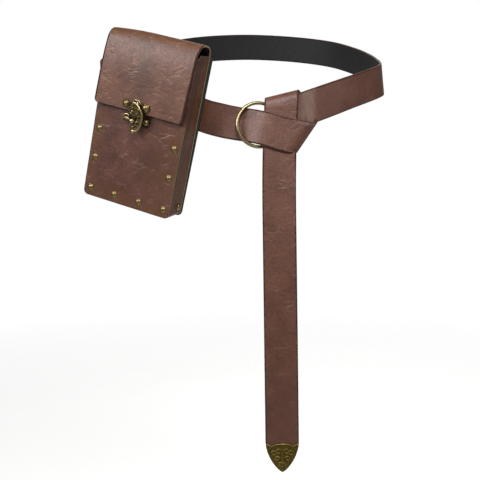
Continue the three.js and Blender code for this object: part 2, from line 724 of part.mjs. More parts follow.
// Smooth rulings between given ones, square to the strap's run
function smoothRun(given) {
  const middles = new THREE.CatmullRomCurve3(given.map((r) => r.middle), false, 'centripetal');
  const halves = new THREE.CatmullRomCurve3(given.map((r) => r.half), false, 'catmullrom', 0.5);
  const list = [];
  for (let k = 1; k < given.length - 2; k++) {
    const steps = Math.max(1, Math.round(given[k].middle.distanceTo(given[k + 1].middle) / STRAP_STEP));
    for (let s = k === 1 ? 0 : 1; s <= steps; s++) {
      const t = (k + s / steps) / (given.length - 1);
      const tangent = middles.getTangent(t);
      const half = halves.getPoint(t);
      half.addScaledVector(tangent, -half.dot(tangent)).setLength(STRAP_WIDTH / 2);
      list.push({ middle: middles.getPoint(t), half });
    }
  }
  return list;
}

function waistRuling(k) {
  const middle = waistPoint(waistStations[k]);
  const before = waistPoint(waistStations[Math.max(0, k - 1)]);
  const after = waistPoint(waistStations[Math.min(k + 1, waistStations.length - 1)]);
  const tangent = after.sub(before).normalize();
  const up = V(0, 0, 1).addScaledVector(tangent, -tangent.z).normalize();
  const out = tangent.clone().cross(up);
  const lean = rad(waistStations[k].lean);
  const half = up.multiplyScalar(Math.cos(lean)).addScaledVector(out, Math.sin(lean));
  return { middle, half: half.multiplyScalar(STRAP_WIDTH / 2) };
}

// The fold that turns the wrap back, placed by the outside of its edge
const wrapAcross = upright(wrapWay);
const wrapFoldEdge = new THREE.Vector2(WRAP_FOLD_RIGHT, -WRAP_FOLD_DROP);
const probe = foldOver(wrapFoldEdge, wrapWay, wrapAcross, backWay, WRAP_OUT, BACK_OUT);
const wrapEnd = wrapFoldEdge.clone()
  .addScaledVector(probe.run, -(probe.radius + STRAP_THICKNESS / 2))
  .addScaledVector(probe.line, -probe.radius * Math.PI / 2 * probe.slide);
const wrapFold = foldOver(wrapEnd, wrapWay, wrapAcross, backWay, WRAP_OUT, BACK_OUT);
const backEnd = wrapFold.end.clone().addScaledVector(backWay, BACK_RUN);
const topFold = foldOver(backEnd, backWay, wrapFold.acrossOut, tailWay, BACK_OUT, TAIL_OUT);

// A ruling of the wrap, a distance back from its fold and lifted to clear the ring's lower side
function wrapRuling(back, lift = 0) {
  const point = wrapEnd.clone().addScaledVector(wrapWay, -back).addScaledVector(wrapAcross, lift);
  return knotRuling(point, WRAP_OUT, wrapAcross.clone().multiplyScalar(STRAP_WIDTH / 2));
}

// Half width of the strap tip, from its top edge down to its point
function tipHalfWidth(share) {
  return (STRAP_WIDTH / 2 - 0.2) * (1 - share ** 1.7) ** 0.75;
}

// The tail hangs from the top fold. Its end is trimmed to sit inside the tip
function tailRulings() {
  const list = [];
  const point = topFold.end.clone();
  const hang = TAIL_LENGTH - TIP_LENGTH;
  const stops = [];
  const count = Math.round(hang / 12);
  for (let k = 1; k <= count; k++) stops.push([(k / count) * (hang - 0.6), STRAP_WIDTH / 2]);
  for (const share of [0, 0.15, 0.3, 0.4, STRAP_IN_TIP]) {
    stops.push([hang + share * TIP_LENGTH, tipHalfWidth(share) - TIP_WALL - GAP]);
  }
  let before = 0;
  for (const [distance, halfWidth] of stops) {
    const share = distance / TAIL_LENGTH;
    const eased = Math.min(1, share / 0.35);
    const angle = TAIL_ANGLE + (TAIL_END_ANGLE - TAIL_ANGLE) * eased * eased * (3 - 2 * eased);
    const way = flat(angle);
    point.addScaledVector(way, distance - before);
    before = distance;
    const side = upright(way);
    if (side.dot(topFold.acrossOut) < 0) side.negate();
    const out = TAIL_OUT - TAIL_BACK_DRIFT * share * share;
    list.push(knotRuling(point, out, side.multiplyScalar(halfWidth)));
  }
  return list;
}

// Stations where the strap comes from the pouch and passes behind the ring's left side, from the
// ring's middle
const behindRing = [
  { right: -RING_RADIUS - 3, up: 2.2, out: -2 },
  { right: -RING_RADIUS + 9.5, up: 0.4, out: -1.7 },
];

// Stations along the pouch's back, as shares of its width
const pouchStations = [0.13, 0.25, 0.5, 0.75, 1, 1.07];

const eye = eyeRulings();
const across = wrapAcross.clone().multiplyScalar(STRAP_WIDTH / 2);
const waist = smoothRun([
  eye[eye.length - 2],
  eye[eye.length - 1],
  ...waistStations.map((_, k) => waistRuling(k)),
  ...pouchStations.map((share) => pouchBeltRuling(share * BODY_WIDTH)),
  ...behindRing.map(({ right, up, out }) => knotRuling(new THREE.Vector2(right, up), out, across)),
  wrapRuling(36, 3.6),
  wrapRuling(24),
]).slice(1);
const strapRulings = [
  ...eye,
  ...waist,
  wrapRuling(12),
  ...wrapFold.rulings,
  ...topFold.rulings,
  ...tailRulings(),
];
const strapRows = strapRulings.map(({ middle, half }) => (
  [middle.clone().sub(half), middle.clone().add(half)]
));
addMesh(part, 'belt_strap', sheet(strapRows, STRAP_THICKNESS), beltLeather);

// Ring, tipped towards the viewer on the side away from the turned end
const ring = addMesh(knotFrame, 'ring', new THREE.TorusGeometry(RING_RADIUS, RING_WIRE / 2, 10, 44), brass);
ring.geometry.rotateX(Math.PI / 2);
const ringAxis = V(-pull.y, 0, pull.x);
ring.quaternion.setFromAxisAngle(ringAxis, rad(RING_TILT));
ring.position.y = EYE_BEND - (RING_RADIUS - 1.8) * Math.sin(rad(RING_TILT));

// Strap tip: a folded brass cap over the trimmed end, with a bracket shaped top edge

const bracketEdge = (half) => [
  [0, -TIP_SCALLOP * 0.1],
  [half * 0.34, -TIP_SCALLOP * 0.45],
  [half * 0.6, -TIP_SCALLOP],
  [half * 0.78, -TIP_SHOULDER],
];
const openEdge = (half) => [[half, DRILL]];

function tipOutline(inset, topEdge) {
  const side = [];
  for (let k = 0; k <= 12; k++) {
    const share = 1 - (1 - k / 12) ** 1.6;
    side.push([Math.max(0, tipHalfWidth(share) - inset), -share * (TIP_LENGTH - inset)]);
  }
  side[12][0] = 0;
  const right = [...topEdge(side[0][0]), ...side];
  const left = right.slice(0, -1).reverse().map(([x, z]) => [-x, z]).filter(([x]) => x < 0);
  return new THREE.Shape([...right, ...left].map(([x, z]) => new THREE.Vector2(x, z)));
}

function strapTip() {
  const inner = STRAP_THICKNESS + 2 * GAP;
  const outer = inner + 2 * TIP_WALL;
  const cap = plate(tipOutline(0, bracketEdge), outer, outer / 2);
  const hollow = plate(tipOutline(TIP_WALL, openEdge), inner, inner / 2);
  return cut(cap, [hollow]);
}

const tipRulings = strapRulings.slice(-5);
const tipTop = tipRulings[0].middle;
const tipDown = tipRulings[4].middle.clone().sub(tipTop).normalize();
const tipRight = tipRulings[0].half.clone().normalize();
if (tipRight.x < 0) tipRight.negate();
const tipIn = tipDown.clone().cross(tipRight).negate();
const tipAxes = new THREE.Matrix4().makeBasis(tipRight, tipIn, tipDown.clone().negate());
const strapTipMesh = addMesh(part, 'strap_tip', strapTip(), brass);
strapTipMesh.position.copy(tipTop);
strapTipMesh.quaternion.setFromRotationMatrix(tipAxes);

export default part;
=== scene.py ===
import json
import math
from itertools import permutations

import bmesh
import bpy
import numpy as np
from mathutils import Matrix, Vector


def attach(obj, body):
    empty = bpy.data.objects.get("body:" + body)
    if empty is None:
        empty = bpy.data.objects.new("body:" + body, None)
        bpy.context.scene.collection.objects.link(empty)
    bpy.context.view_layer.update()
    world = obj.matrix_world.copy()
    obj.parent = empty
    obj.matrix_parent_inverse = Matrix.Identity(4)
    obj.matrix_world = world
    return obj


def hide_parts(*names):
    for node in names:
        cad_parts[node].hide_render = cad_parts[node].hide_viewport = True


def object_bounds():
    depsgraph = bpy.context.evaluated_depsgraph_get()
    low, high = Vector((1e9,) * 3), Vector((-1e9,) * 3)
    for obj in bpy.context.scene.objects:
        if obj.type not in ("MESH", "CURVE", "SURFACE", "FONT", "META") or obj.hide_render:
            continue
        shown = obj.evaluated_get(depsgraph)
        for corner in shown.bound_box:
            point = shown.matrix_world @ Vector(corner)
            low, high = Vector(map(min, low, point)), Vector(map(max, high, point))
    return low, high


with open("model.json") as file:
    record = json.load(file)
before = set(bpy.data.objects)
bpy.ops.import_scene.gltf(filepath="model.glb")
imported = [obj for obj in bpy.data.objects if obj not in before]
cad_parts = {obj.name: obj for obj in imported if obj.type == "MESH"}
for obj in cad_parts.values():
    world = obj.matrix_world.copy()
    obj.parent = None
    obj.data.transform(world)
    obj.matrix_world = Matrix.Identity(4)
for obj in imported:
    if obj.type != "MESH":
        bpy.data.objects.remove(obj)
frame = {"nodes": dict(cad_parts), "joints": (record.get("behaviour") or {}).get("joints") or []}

cad_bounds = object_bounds()

# Studio
# The part hangs in the air as it would on a wearer. A long lens looks a little down on it, a pale
# floor lies far below it, and a dim white room and four soft boxes light it.
MM = 0.001
CAMERA_PLACE = Vector((-4.1 * MM, -1069.8 * MM, -100.2 * MM))
CAMERA_PITCH_DEG = 6
LENS_MM = 60
SENSOR_MM = 36
ROOM_LIGHT = 0.2
FLOOR_DROP = 260 * MM
FLOOR_SIZE = 12
FLOOR_FADE = (0.5, 2.0)


def colour(text):
    """Linear RGBA of an sRGB hex colour."""
    parts = [int(text[k:k + 2], 16) / 255 for k in (1, 3, 5)]
    linear = [c / 12.92 if c <= 0.04045 else ((c + 0.055) / 1.055) ** 2.4 for c in parts]
    return (*linear, 1.0)


def node(tree, kind, sockets=None, stops=None, **settings):
    """One shader node with its settings, its socket values or links, and its colour stops."""
    made = tree.nodes.new("ShaderNode" + kind)
    for name, value in settings.items():
        setattr(made, name, value)
    for name, value in (sockets or {}).items():
        if isinstance(value, bpy.types.NodeSocket):
            tree.links.new(value, made.inputs[name])
        else:
            made.inputs[name].default_value = value
    if stops:
        ramp = made.color_ramp
        ramp.elements[0].position, ramp.elements[0].color = stops[0]
        ramp.elements[1].position, ramp.elements[1].color = stops[-1]
        for place, shade in stops[1:-1]:
            ramp.elements.new(place).color = shade
    return made


def new_material(name):
    """An empty node material, its tree and its output node."""
    material = bpy.data.materials.new(name)
    material.use_nodes = True
    material.node_tree.nodes.clear()
    return material, material.node_tree, node(material.node_tree, "OutputMaterial")


def add_object(name, data):
    """A new object in the scene."""
    made = bpy.data.objects.new(name, data)
    bpy.context.scene.collection.objects.link(made)
    return made


camera_data = bpy.data.cameras.new("camera")
camera_data.lens = LENS_MM
camera_data.sensor_width = SENSOR_MM
camera = add_object("camera", camera_data)
camera.location = CAMERA_PLACE
camera.rotation_euler = (math.radians(90 - CAMERA_PITCH_DEG), 0, 0)
bpy.context.scene.camera = camera
bpy.context.scene.view_settings.view_transform = "Standard"

# White room: full white to the eye, but only a fifth of that as light
world = bpy.data.worlds.new("white_room")
world.use_nodes = True
world.node_tree.nodes.clear()
ray = node(world.node_tree, "LightPath")
room_strength = node(world.node_tree, "MapRange", {
    "Value": ray.outputs["Is Camera Ray"], "To Min": ROOM_LIGHT, "To Max": 1.0,
})
room = node(world.node_tree, "Background", {
    "Color": colour("#ffffff"), "Strength": room_strength.outputs["Result"],
})
node(world.node_tree, "OutputWorld", {"Surface": room.outputs["Background"]})
bpy.context.scene.world = world

floor_mesh = bpy.data.meshes.new("floor")
half = FLOOR_SIZE / 2
floor_z = cad_bounds[0].z - FLOOR_DROP
corners = [(-half, -half), (half, -half), (half, half), (-half, half)]
floor_mesh.from_pydata([(x, y, floor_z) for x, y in corners], [], [(0, 1, 2, 3)])
floor = add_object("floor", floor_mesh)

# Matt white floor paint with a faint glow, which keeps the ground white. It fades out with distance,
# so that the floor has no far edge.
floor_paint, tree, output = new_material("matt_floor_paint")
paint = node(tree, "BsdfPrincipled", {
    "Base Color": colour("#f4f3f1"), "Roughness": 0.9, "Emission Color": colour("#ffffff"),
    "Emission Strength": 0.52,
})
from_middle = node(tree, "VectorMath", {
    0: node(tree, "TexCoord").outputs["Object"], 1: (1, 1, 0),
}, operation="MULTIPLY")
away = node(tree, "VectorMath", {0: from_middle.outputs[0]}, operation="LENGTH")
fade = node(tree, "MapRange", {
    "Value": away.outputs["Value"], "From Min": FLOOR_FADE[0], "From Max": FLOOR_FADE[1],
})
merged = node(tree, "MixShader", {
    "Fac": fade.outputs["Result"], 1: paint.outputs["BSDF"],
    2: node(tree, "BsdfTransparent").outputs["BSDF"],
})
tree.links.new(merged.outputs["Shader"], output.inputs["Surface"])
floor_mesh.materials.append(floor_paint)


def soft_box(name, place, aim, size, watts, spread_deg):
    """A square studio light turned towards a point. A small spread is a grid over its front."""
    light = bpy.data.lights.new(name, "AREA")
    light.size = size
    light.energy = watts
    light.spread = math.radians(spread_deg)
    lamp = add_object(name, light)
    lamp.location = place
    lamp.rotation_euler = (Vector(aim) - Vector(place)).to_track_quat("-Z", "Y").to_euler()


# Two gridded boxes light the pouch and the knot, and fall off towards the tail. Two plain ones fill.
soft_box("key_box", (-1.05, -0.95, 0.6), (-0.14, -0.18, 0.16), size=0.6, watts=2.65, spread_deg=60)
soft_box("front_box", (0.1, -1.1, 0.8), (0.03, -0.2, 0.05), size=0.5, watts=2.2, spread_deg=60)
soft_box("side_box", (1.5, -0.8, 0.3), (0, -0.15, -0.1), size=1.0, watts=3.8, spread_deg=180)
soft_box("back_box", (0.4, 1.5, 0.9), (0, 0, 0), size=1.2, watts=6, spread_deg=180)

# Pouch axes
# Everything on the pouch is placed in its own axes: X to the right along its front, Y into it and
# Z up its body, from the lower left corner of its front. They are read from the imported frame.
LEATHER = 2 * MM
GAP = 0.3 * MM


def points_of(name):
    """The corners of a frame node, as an array."""
    mesh = frame["nodes"][name].data
    flat = np.zeros(len(mesh.vertices) * 3)
    mesh.vertices.foreach_get("co", flat)
    return flat.reshape(-1, 3)


inward = -np.array(frame["joints"][0]["axis"])
rightward = points_of("front_rivet_6").mean(0) - points_of("front_rivet_3").mean(0)
rightward -= rightward.dot(inward) * inward
rightward /= np.linalg.norm(rightward)
POUCH_AXES = np.array([rightward, inward, np.cross(rightward, inward)])
POUCH_CORNER = (points_of("gusset") @ POUCH_AXES.T).min(0) - (0, LEATHER + GAP, 0)


def on_pouch(points):
    """Points in the pouch's axes, brought to the frame's."""
    return (np.asarray(points) + POUCH_CORNER) @ POUCH_AXES


def pouch_box(name):
    """Lowest and highest corner of a frame node in the pouch's axes."""
    local = points_of(name) @ POUCH_AXES.T - POUCH_CORNER
    return local.min(0), local.max(0)


BODY_WIDTH, _, BODY_HEIGHT = pouch_box("gusset")[1]

# Brown leather
# Drum dyed cowhide with a waxed finish: a satin, mottled grain side that pales where it was bent,
# warms to orange brown where it is worn thin, and darkens at its painted edges.
POUCH_MID = "#5c3a2c"
POUCH_DEEP = "#472b1f"
# A darker copy of the pouch's colours for the front panel: painted shade
FRONT_SHADED_MID = "#54332a"
FRONT_SHADED_DEEP = "#41261d"
STRAP_MID = "#5a382b"
STRAP_DEEP = "#4b2d21"
LEATHER_WARM = "#53341c"
LEATHER_PALE = "#7d5c4d"
# Painted sheen: the pale grey of a light's reflection, painted on the strap beside the knot
PAINTED_SHEEN_GREY = "#7d685e"
EDGE_PAINT = "#2f2018"
SUEDE = "#2c1f17"
RAW_EDGE = "#7c6a48"
STRAP_INSIDE = "#0f0f10"


def waxed_leather(name, mid, deep, flesh, cut, grain_mm, crease_mm, crease_share):
    """Leather whose grain follows the skin coordinates that each sheet carries, in metres.

    The sheet's own marks say where it is worn warm, edge painted, flesh side or raw cut, and where a
    sheen is painted on.
    """
    material, tree, output = new_material(name)
    skin = node(tree, "Attribute", attribute_name="skin").outputs["Vector"]
    marks = {
        key: node(tree, "Attribute", attribute_name=key).outputs["Fac"]
        for key in ("warm", "edge", "flesh", "cut", "painted_sheen")
    }

    # Dye: clouds some 34 mm across, with a speckle of 3 mm, and wear in patches of 14 mm
    mottle = node(tree, "TexNoise", {
        "Vector": skin, "Scale": 1 / (34 * MM), "Detail": 5.0, "Roughness": 0.6, "Distortion": 0.4,
    })
    clouds = node(tree, "ValToRGB", {"Fac": mottle.outputs["Fac"]}, stops=[
        (0.36, colour(deep)), (0.64, colour(mid)),
    ])
    fine = node(tree, "TexNoise", {
        "Vector": skin, "Scale": 1 / (3 * MM), "Detail": 4.0, "Roughness": 0.65,
    })
    speckle = node(tree, "MapRange", {
        "Value": fine.outputs["Fac"], "From Min": 0.3, "From Max": 0.7, "To Min": 0.88,
        "To Max": 1.12,
    })
    toned = node(tree, "Mix", {
        "Factor": 1.0, "A": clouds.outputs["Color"], "B": speckle.outputs["Result"],
    }, data_type="RGBA", blend_type="MULTIPLY")
    wear = node(tree, "TexNoise", {
        "Vector": skin, "Scale": 1 / (14 * MM), "Detail": 4.0, "Roughness": 0.6, "Distortion": 0.8,
    })
    worn = node(tree, "MapRange", {
        "Value": wear.outputs["Fac"], "From Min": 0.35, "From Max": 0.62, "To Min": 0.35,
        "To Max": 1.0,
    })
    warm = node(tree, "Math", {0: marks["warm"], 1: worn.outputs["Result"]}, operation="MULTIPLY")

    # Wrinkles: the borders of bent, drawn out cells, in patches
    bend = node(tree, "TexNoise", {
        "Vector": skin, "Scale": 1 / (crease_mm * MM), "Detail": 3.0, "Roughness": 0.55,
    })
    bent = node(tree, "VectorMath", {
        0: bend.outputs["Color"], 1: (crease_mm * MM * 0.8,) * 3,
    }, operation="MULTIPLY")
    shifted = node(tree, "VectorMath", {0: skin, 1: bent.outputs[0]}, operation="ADD")
    slanted = node(tree, "Mapping", {
        "Vector": shifted.outputs[0], "Rotation": (0, 0, math.radians(32)), "Scale": (0.4, 1.0, 1.0),
    })
    cells = node(tree, "TexVoronoi", {
        "Vector": slanted.outputs["Vector"], "Scale": 1 / (crease_mm * 0.42 * MM),
    }, feature="DISTANCE_TO_EDGE")
    line = node(tree, "MapRange", {
        "Value": cells.outputs["Distance"], "From Min": 0.0, "From Max": 0.16, "To Min": 1.0,
        "To Max": 0.0,
    })
    patch = node(tree, "MapRange", {
        "Value": bend.outputs["Fac"], "From Min": 0.5, "From Max": 0.66, "To Min": 0.0, "To Max": 1.0,
    })
    crease = node(tree, "Math", {
        0: line.outputs["Result"], 1: patch.outputs["Result"],
    }, operation="MULTIPLY")
    crease_tint = node(tree, "Math", {0: crease.outputs[0], 1: crease_share}, operation="MULTIPLY")

    # Painted sheen: a pale, fibrous grey patch that paints a light's reflection, and fine streaks
    # left by wiping, which also grain that patch
    streaks = node(tree, "TexNoise", {
        "Vector": node(tree, "Mapping", {
            "Vector": skin, "Scale": (0.04, 1.0, 1.0), "Rotation": (0, 0, math.radians(2)),
        }).outputs["Vector"],
        "Scale": 1 / (1.6 * MM), "Detail": 3.0, "Roughness": 0.6,
    })
    fibre = node(tree, "MapRange", {
        "Value": streaks.outputs["Fac"], "From Min": 0.35, "From Max": 0.6, "To Min": 0.45,
        "To Max": 1.0,
    })
    sheen_mix = node(tree, "Math", {0: marks["painted_sheen"], 1: fibre.outputs["Result"]}, operation="MULTIPLY")

    # Each finish lies over the ones before it
    surface = toned.outputs["Result"]
    for share, shade in (
        (warm.outputs[0], LEATHER_WARM), (crease_tint.outputs[0], LEATHER_PALE),
        (sheen_mix.outputs[0], PAINTED_SHEEN_GREY), (marks["edge"], EDGE_PAINT), (marks["flesh"], flesh),
        (marks["cut"], cut),
    ):
        surface = node(tree, "Mix", {
            "Factor": share, "A": surface, "B": colour(shade),
        }, data_type="RGBA").outputs["Result"]

    # Satin wax on the grain side, and dull on the flesh side and the paint
    rough = node(tree, "MapRange", {
        "Value": fine.outputs["Fac"], "From Min": 0.3, "From Max": 0.7, "To Min": 0.4, "To Max": 0.56,
    })
    plain = node(tree, "Math", {0: marks["flesh"], 1: marks["edge"]}, operation="MAXIMUM")
    dull = node(tree, "Math", {0: plain.outputs[0], 1: 0.25}, operation="MULTIPLY")
    rough_all = node(tree, "Math", {
        0: rough.outputs["Result"], 1: dull.outputs[0],
    }, operation="ADD")

    # Pores and creases, the pores drawn coarser than the real 0.2 mm so that they show
    pores = node(tree, "TexVoronoi", {
        "Vector": skin, "Scale": 1 / (grain_mm * MM), "Randomness": 1.0,
    }, feature="SMOOTH_F1")
    below = {}
    for height, strength, depth_mm, sunk in (
        (pores.outputs["Distance"], 0.3, 0.12, False), (streaks.outputs["Fac"], 0.5, 0.12, False),
        (wear.outputs["Fac"], 0.6, 1.2, False), (crease.outputs[0], 0.8, 0.35, True),
    ):
        bump = node(tree, "Bump", {
            "Height": height, "Strength": strength, "Distance": depth_mm * MM, **below,
        }, invert=sunk)
        below = {"Normal": bump.outputs["Normal"]}
    shader = node(tree, "BsdfPrincipled", {
        "Base Color": surface, "Roughness": rough_all.outputs[0], **below, "IOR": 1.46,
        "Specular IOR Level": 0.42, "Coat Weight": 0.06, "Coat Roughness": 0.35,
    })
    tree.links.new(shader.outputs["BSDF"], output.inputs["Surface"])
    return material


# The pouch's hide shows its handling in pale wrinkles. The front's is a darker copy of it, painted
# shade on the front panel below the flap.
# The strap's is smoother, with a black inside and painted rims.
pouch_leather = waxed_leather(
    "waxed_pouch_leather", POUCH_MID, POUCH_DEEP, SUEDE, RAW_EDGE,
    grain_mm=0.9, crease_mm=17, crease_share=0.3)
shaded_front_leather = waxed_leather(
    "waxed_front_leather_painted_shade", FRONT_SHADED_MID, FRONT_SHADED_DEEP, SUEDE, RAW_EDGE,
    grain_mm=0.9, crease_mm=17, crease_share=0.3)
strap_leather = waxed_leather(
    "waxed_strap_leather", STRAP_MID, STRAP_DEEP, STRAP_INSIDE, EDGE_PAINT,
    grain_mm=0.8, crease_mm=22, crease_share=0.15)

# Front panel
# The flat front of the pouch, one panel of 2 mm leather riveted along its sides and bottom. It is
# a little crowned, tucks in under the flap, and dips where each rivet draws it down.
FRONT_RISE = 8 * MM
FRONT_HEIGHT = pouch_box("front_panel")[1][2] + FRONT_RISE
FRONT_CROWN = 1.2 * MM
FLAP_BOTTOM = 108 * MM
CORNER_RADIUS = 6 * MM
TOP_TUCK = 5 * MM
TUCK_START = 0.74
RIVET_DIP = 0.35 * MM
RIVET_DIP_REACH = 6 * MM
EDGE_WEAR = 24 * MM
FRONT_RIVETS = [f"front_rivet_{k}" for k in range(1, 9)]
RIM_TURNS = (math.pi / 4, 0, -math.pi / 4)
RIM_BULGE = 0.9


def run_along(points):
    """How far along a line of points each of them lies."""
    return np.concatenate([[0], np.cumsum(np.linalg.norm(np.diff(points, axis=0), axis=1))])


def leather_sheet(name, grid, thickness, material, edge_mm=1.1, marks=None, rim_shade=0.6):
    """A closed sheet of even thickness with rounded edges, through a grid of points on its middle.

    Its grain side is the one that the cross product of the grid's two ways points to. marks holds
    grids of values, of which cut marks the rim only. rim_shade is how much of the edge paint shows.
    """
    grid = np.array(grid, float)
    rows, columns, _ = grid.shape
    along = np.gradient(grid, axis=0)
    across = np.gradient(grid, axis=1)
    normal = np.cross(along, across)
    normal /= np.linalg.norm(normal, axis=2, keepdims=True)
    u, v = run_along(grid[rows // 2]), run_along(grid[:, columns // 2])
    skin = np.dstack([*np.meshgrid(u, v), np.zeros((rows, columns))])

    loop = [(0, j) for j in range(columns)]
    loop += [(i, columns - 1) for i in range(1, rows)]
    loop += [(rows - 1, j) for j in range(columns - 2, -1, -1)]
    loop += [(i, 0) for i in range(rows - 2, 0, -1)]
    loop_rows, loop_columns = np.array(loop).T
    border = grid[loop_rows, loop_columns]
    tangent = np.roll(border, -1, axis=0) - np.roll(border, 1, axis=0)
    outward = np.cross(normal[loop_rows, loop_columns], tangent)
    outward /= np.linalg.norm(outward, axis=1, keepdims=True)
    flat = grid.reshape(-1, 3)
    distance = np.full(len(flat), np.inf)
    for point in border:
        distance = np.minimum(distance, np.linalg.norm(flat - point, axis=1))
    edge = np.clip(1 - distance / (edge_mm * MM), 0, 1)
    half = thickness / 2
    grid[loop_rows, loop_columns] -= outward * half * RIM_BULGE
    border = grid[loop_rows, loop_columns]

    layers = [(grid + normal * half).reshape(-1, 3), (grid - normal * half).reshape(-1, 3)]
    for turn in RIM_TURNS:
        lift = normal[loop_rows, loop_columns] * math.copysign(abs(math.sin(turn)) ** 0.6, turn)
        layers.append(border + half * (lift + outward * math.cos(turn) ** 0.6 * RIM_BULGE))
    count, ring = rows * columns, len(loop)

    faces = []
    for i in range(rows - 1):
        for j in range(columns - 1):
            a, b = i * columns + j, (i + 1) * columns + j
            c, d = b + 1, a + 1
            faces.append((a, b, c, d))
            faces.append((count + d, count + c, count + b, count + a))
    top_loop = [i * columns + j for i, j in loop]
    rings = [top_loop]
    for k in range(len(RIM_TURNS)):
        rings.append([2 * count + k * ring + n for n in range(ring)])
    rings.append([count + n for n in top_loop])
    for upper, lower in zip(rings, rings[1:]):
        for n in range(ring):
            m = (n + 1) % ring
            faces.append((upper[n], upper[m], lower[m], lower[n]))

    values = {key: np.zeros(count) for key in ("warm", "cut", "painted_sheen")}
    values["edge"] = np.sqrt(edge) * rim_shade
    for key, given in (marks or {}).items():
        values[key] = np.broadcast_to(given, (rows, columns)).reshape(-1)
    at_loop = loop_rows * columns + loop_columns
    none = np.zeros(count)
    # Values on the grain side, the flesh side and the rim
    painted = {
        "edge": (values["edge"], values["edge"], np.full(ring, 0.2 + rim_shade)),
        "warm": (values["warm"], values["warm"], values["warm"][at_loop]),
        "painted_sheen": (values["painted_sheen"], values["painted_sheen"], np.zeros(ring)),
        "cut": (none, none, values["cut"][at_loop]),
        "flesh": (none, np.ones(count), np.zeros(ring)),
    }
    mesh = bpy.data.meshes.new(name)
    mesh.from_pydata(np.concatenate(layers).tolist(), [], faces)
    for key, (grain, flesh, rim) in painted.items():
        attribute = mesh.attributes.new(key, "FLOAT", "POINT")
        spread = np.concatenate([grain, flesh, *[rim] * len(RIM_TURNS)])
        attribute.data.foreach_set("value", spread.astype(np.float32))
    attribute = mesh.attributes.new("skin", "FLOAT_VECTOR", "POINT")
    both, rim = skin.reshape(-1, 3), skin[loop_rows, loop_columns]
    spread = np.concatenate([both, both, *[rim] * len(RIM_TURNS)])
    attribute.data.foreach_set("vector", spread.astype(np.float32).ravel())
    return finish_piece(name, mesh, material)


def finish_piece(name, mesh, material):
    """Gives a mesh outward faces, smooth shading and its material, and puts it in the scene."""
    shape = bmesh.new()
    shape.from_mesh(mesh)
    bmesh.ops.recalc_face_normals(shape, faces=shape.faces)
    shape.to_mesh(mesh)
    shape.free()
    mesh.polygons.foreach_set("use_smooth", [True] * len(mesh.polygons))
    mesh.materials.append(material)
    return add_object(name, mesh)


def stops_along(length, step, margin=0.9 * MM):
    """Places along a length, evenly spaced, with one more close to each end for the edge."""
    even = np.linspace(0, length, max(3, round(length / step)) + 1)
    return np.unique(np.concatenate([[0, margin], even, [length - margin, length]]).round(7))


def wander(seed, points, scale, amount):
    """A smooth, fixed unevenness over points, as leather has when it was wetted and handled."""
    draw = np.random.default_rng(seed)
    total = np.zeros(points.shape[:-1])
    for _ in range(5):
        wave = draw.normal(size=3)
        wave *= 2 * math.pi / scale / np.linalg.norm(wave) * draw.uniform(0.6, 1.5)
        total += np.sin(points @ wave + draw.uniform(0, 2 * math.pi))
    return total / 5 * amount


def corner_inset(height, radius):
    """How far a rounded lower corner steps in at a height above the bottom edge."""
    if height >= radius:
        return 0.0
    return radius - math.sqrt(radius * radius - (radius - height) ** 2)


def place(piece, slot_name, *nodes, body="root"):
    """Rides a piece on its body and lets it stand for its frame nodes."""
    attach(piece, body)
    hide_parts(*nodes)


def rivet_place(name):
    """Middle of a rivet on the pouch, in the pouch's axes."""
    low, high = pouch_box(name)
    return (low + high) / 2


def top_tuck(z):
    """How far the front leans in at a height, to let the flap lie close."""
    share = np.maximum(0, z / BODY_HEIGHT - TUCK_START) / (1 - TUCK_START)
    return TOP_TUCK * share * share


def front_y(x, z):
    """Depth of the front's outer face: its tuck, less its crown."""
    u = 2 * x / BODY_WIDTH - 1
    v = 2 * z / FRONT_HEIGHT - 1
    return top_tuck(z) - FRONT_CROWN * (1 - u * u) * (1 - v * v)


low_heights = CORNER_RADIUS * np.array([0, 0.03, 0.1, 0.25, 0.45, 0.7, 1])
straight = stops_along(FRONT_HEIGHT - CORNER_RADIUS, 2.4 * MM)[1:]
heights = np.concatenate([low_heights, CORNER_RADIUS + straight])
across_stops = stops_along(BODY_WIDTH, 2.4 * MM) / BODY_WIDTH
panel = []
for z in heights[::-1]:
    inset = corner_inset(z, CORNER_RADIUS)
    x = inset + across_stops * (BODY_WIDTH - 2 * inset)
    panel.append(np.column_stack([x, LEATHER / 2 + front_y(x, z), np.full_like(x, z)]))
panel = np.array(panel)
panel[..., 1] += wander(3, panel, 70 * MM, 0.25 * MM)
for rivet in FRONT_RIVETS:
    middle = rivet_place(rivet)
    away = np.linalg.norm(panel[..., [0, 2]] - middle[[0, 2]], axis=2)
    panel[..., 1] += RIVET_DIP * np.exp(-((away / RIVET_DIP_REACH) ** 2))
# Worn warm along its sides and bottom. Over its right half it is tinted warmer and a little darker,
# painted shade.
# Under the flap the warm and the worn tan edge are left off, painted shade in the gap below the flap.
side_wear = np.minimum(panel[..., 0], BODY_WIDTH - panel[..., 0])
low_wear = np.minimum(panel[..., 2], side_wear * 1.6)
front_warm = np.clip(1.15 - low_wear / EDGE_WEAR, 0, 1) * 0.85
right_warm_and_shade = np.clip((panel[..., 0] / BODY_WIDTH - 0.55) * 1.6, 0, 0.6)
# Painted shade under the flap: the warm and the tan edge fade out above the flap's bottom
shown = np.clip((FLAP_BOTTOM + 4 * MM - panel[..., 2]) / (6 * MM), 0, 1)
right_edge_worn = (panel[..., 0] > 0.97 * BODY_WIDTH) * shown
front = leather_sheet("front_panel_leather", on_pouch(panel), LEATHER, shaded_front_leather, marks={
    "warm": np.maximum(front_warm, right_warm_and_shade) * shown,
    "cut": right_edge_worn * 0.6,
})
place(front, "pouch_leather", "front_panel")

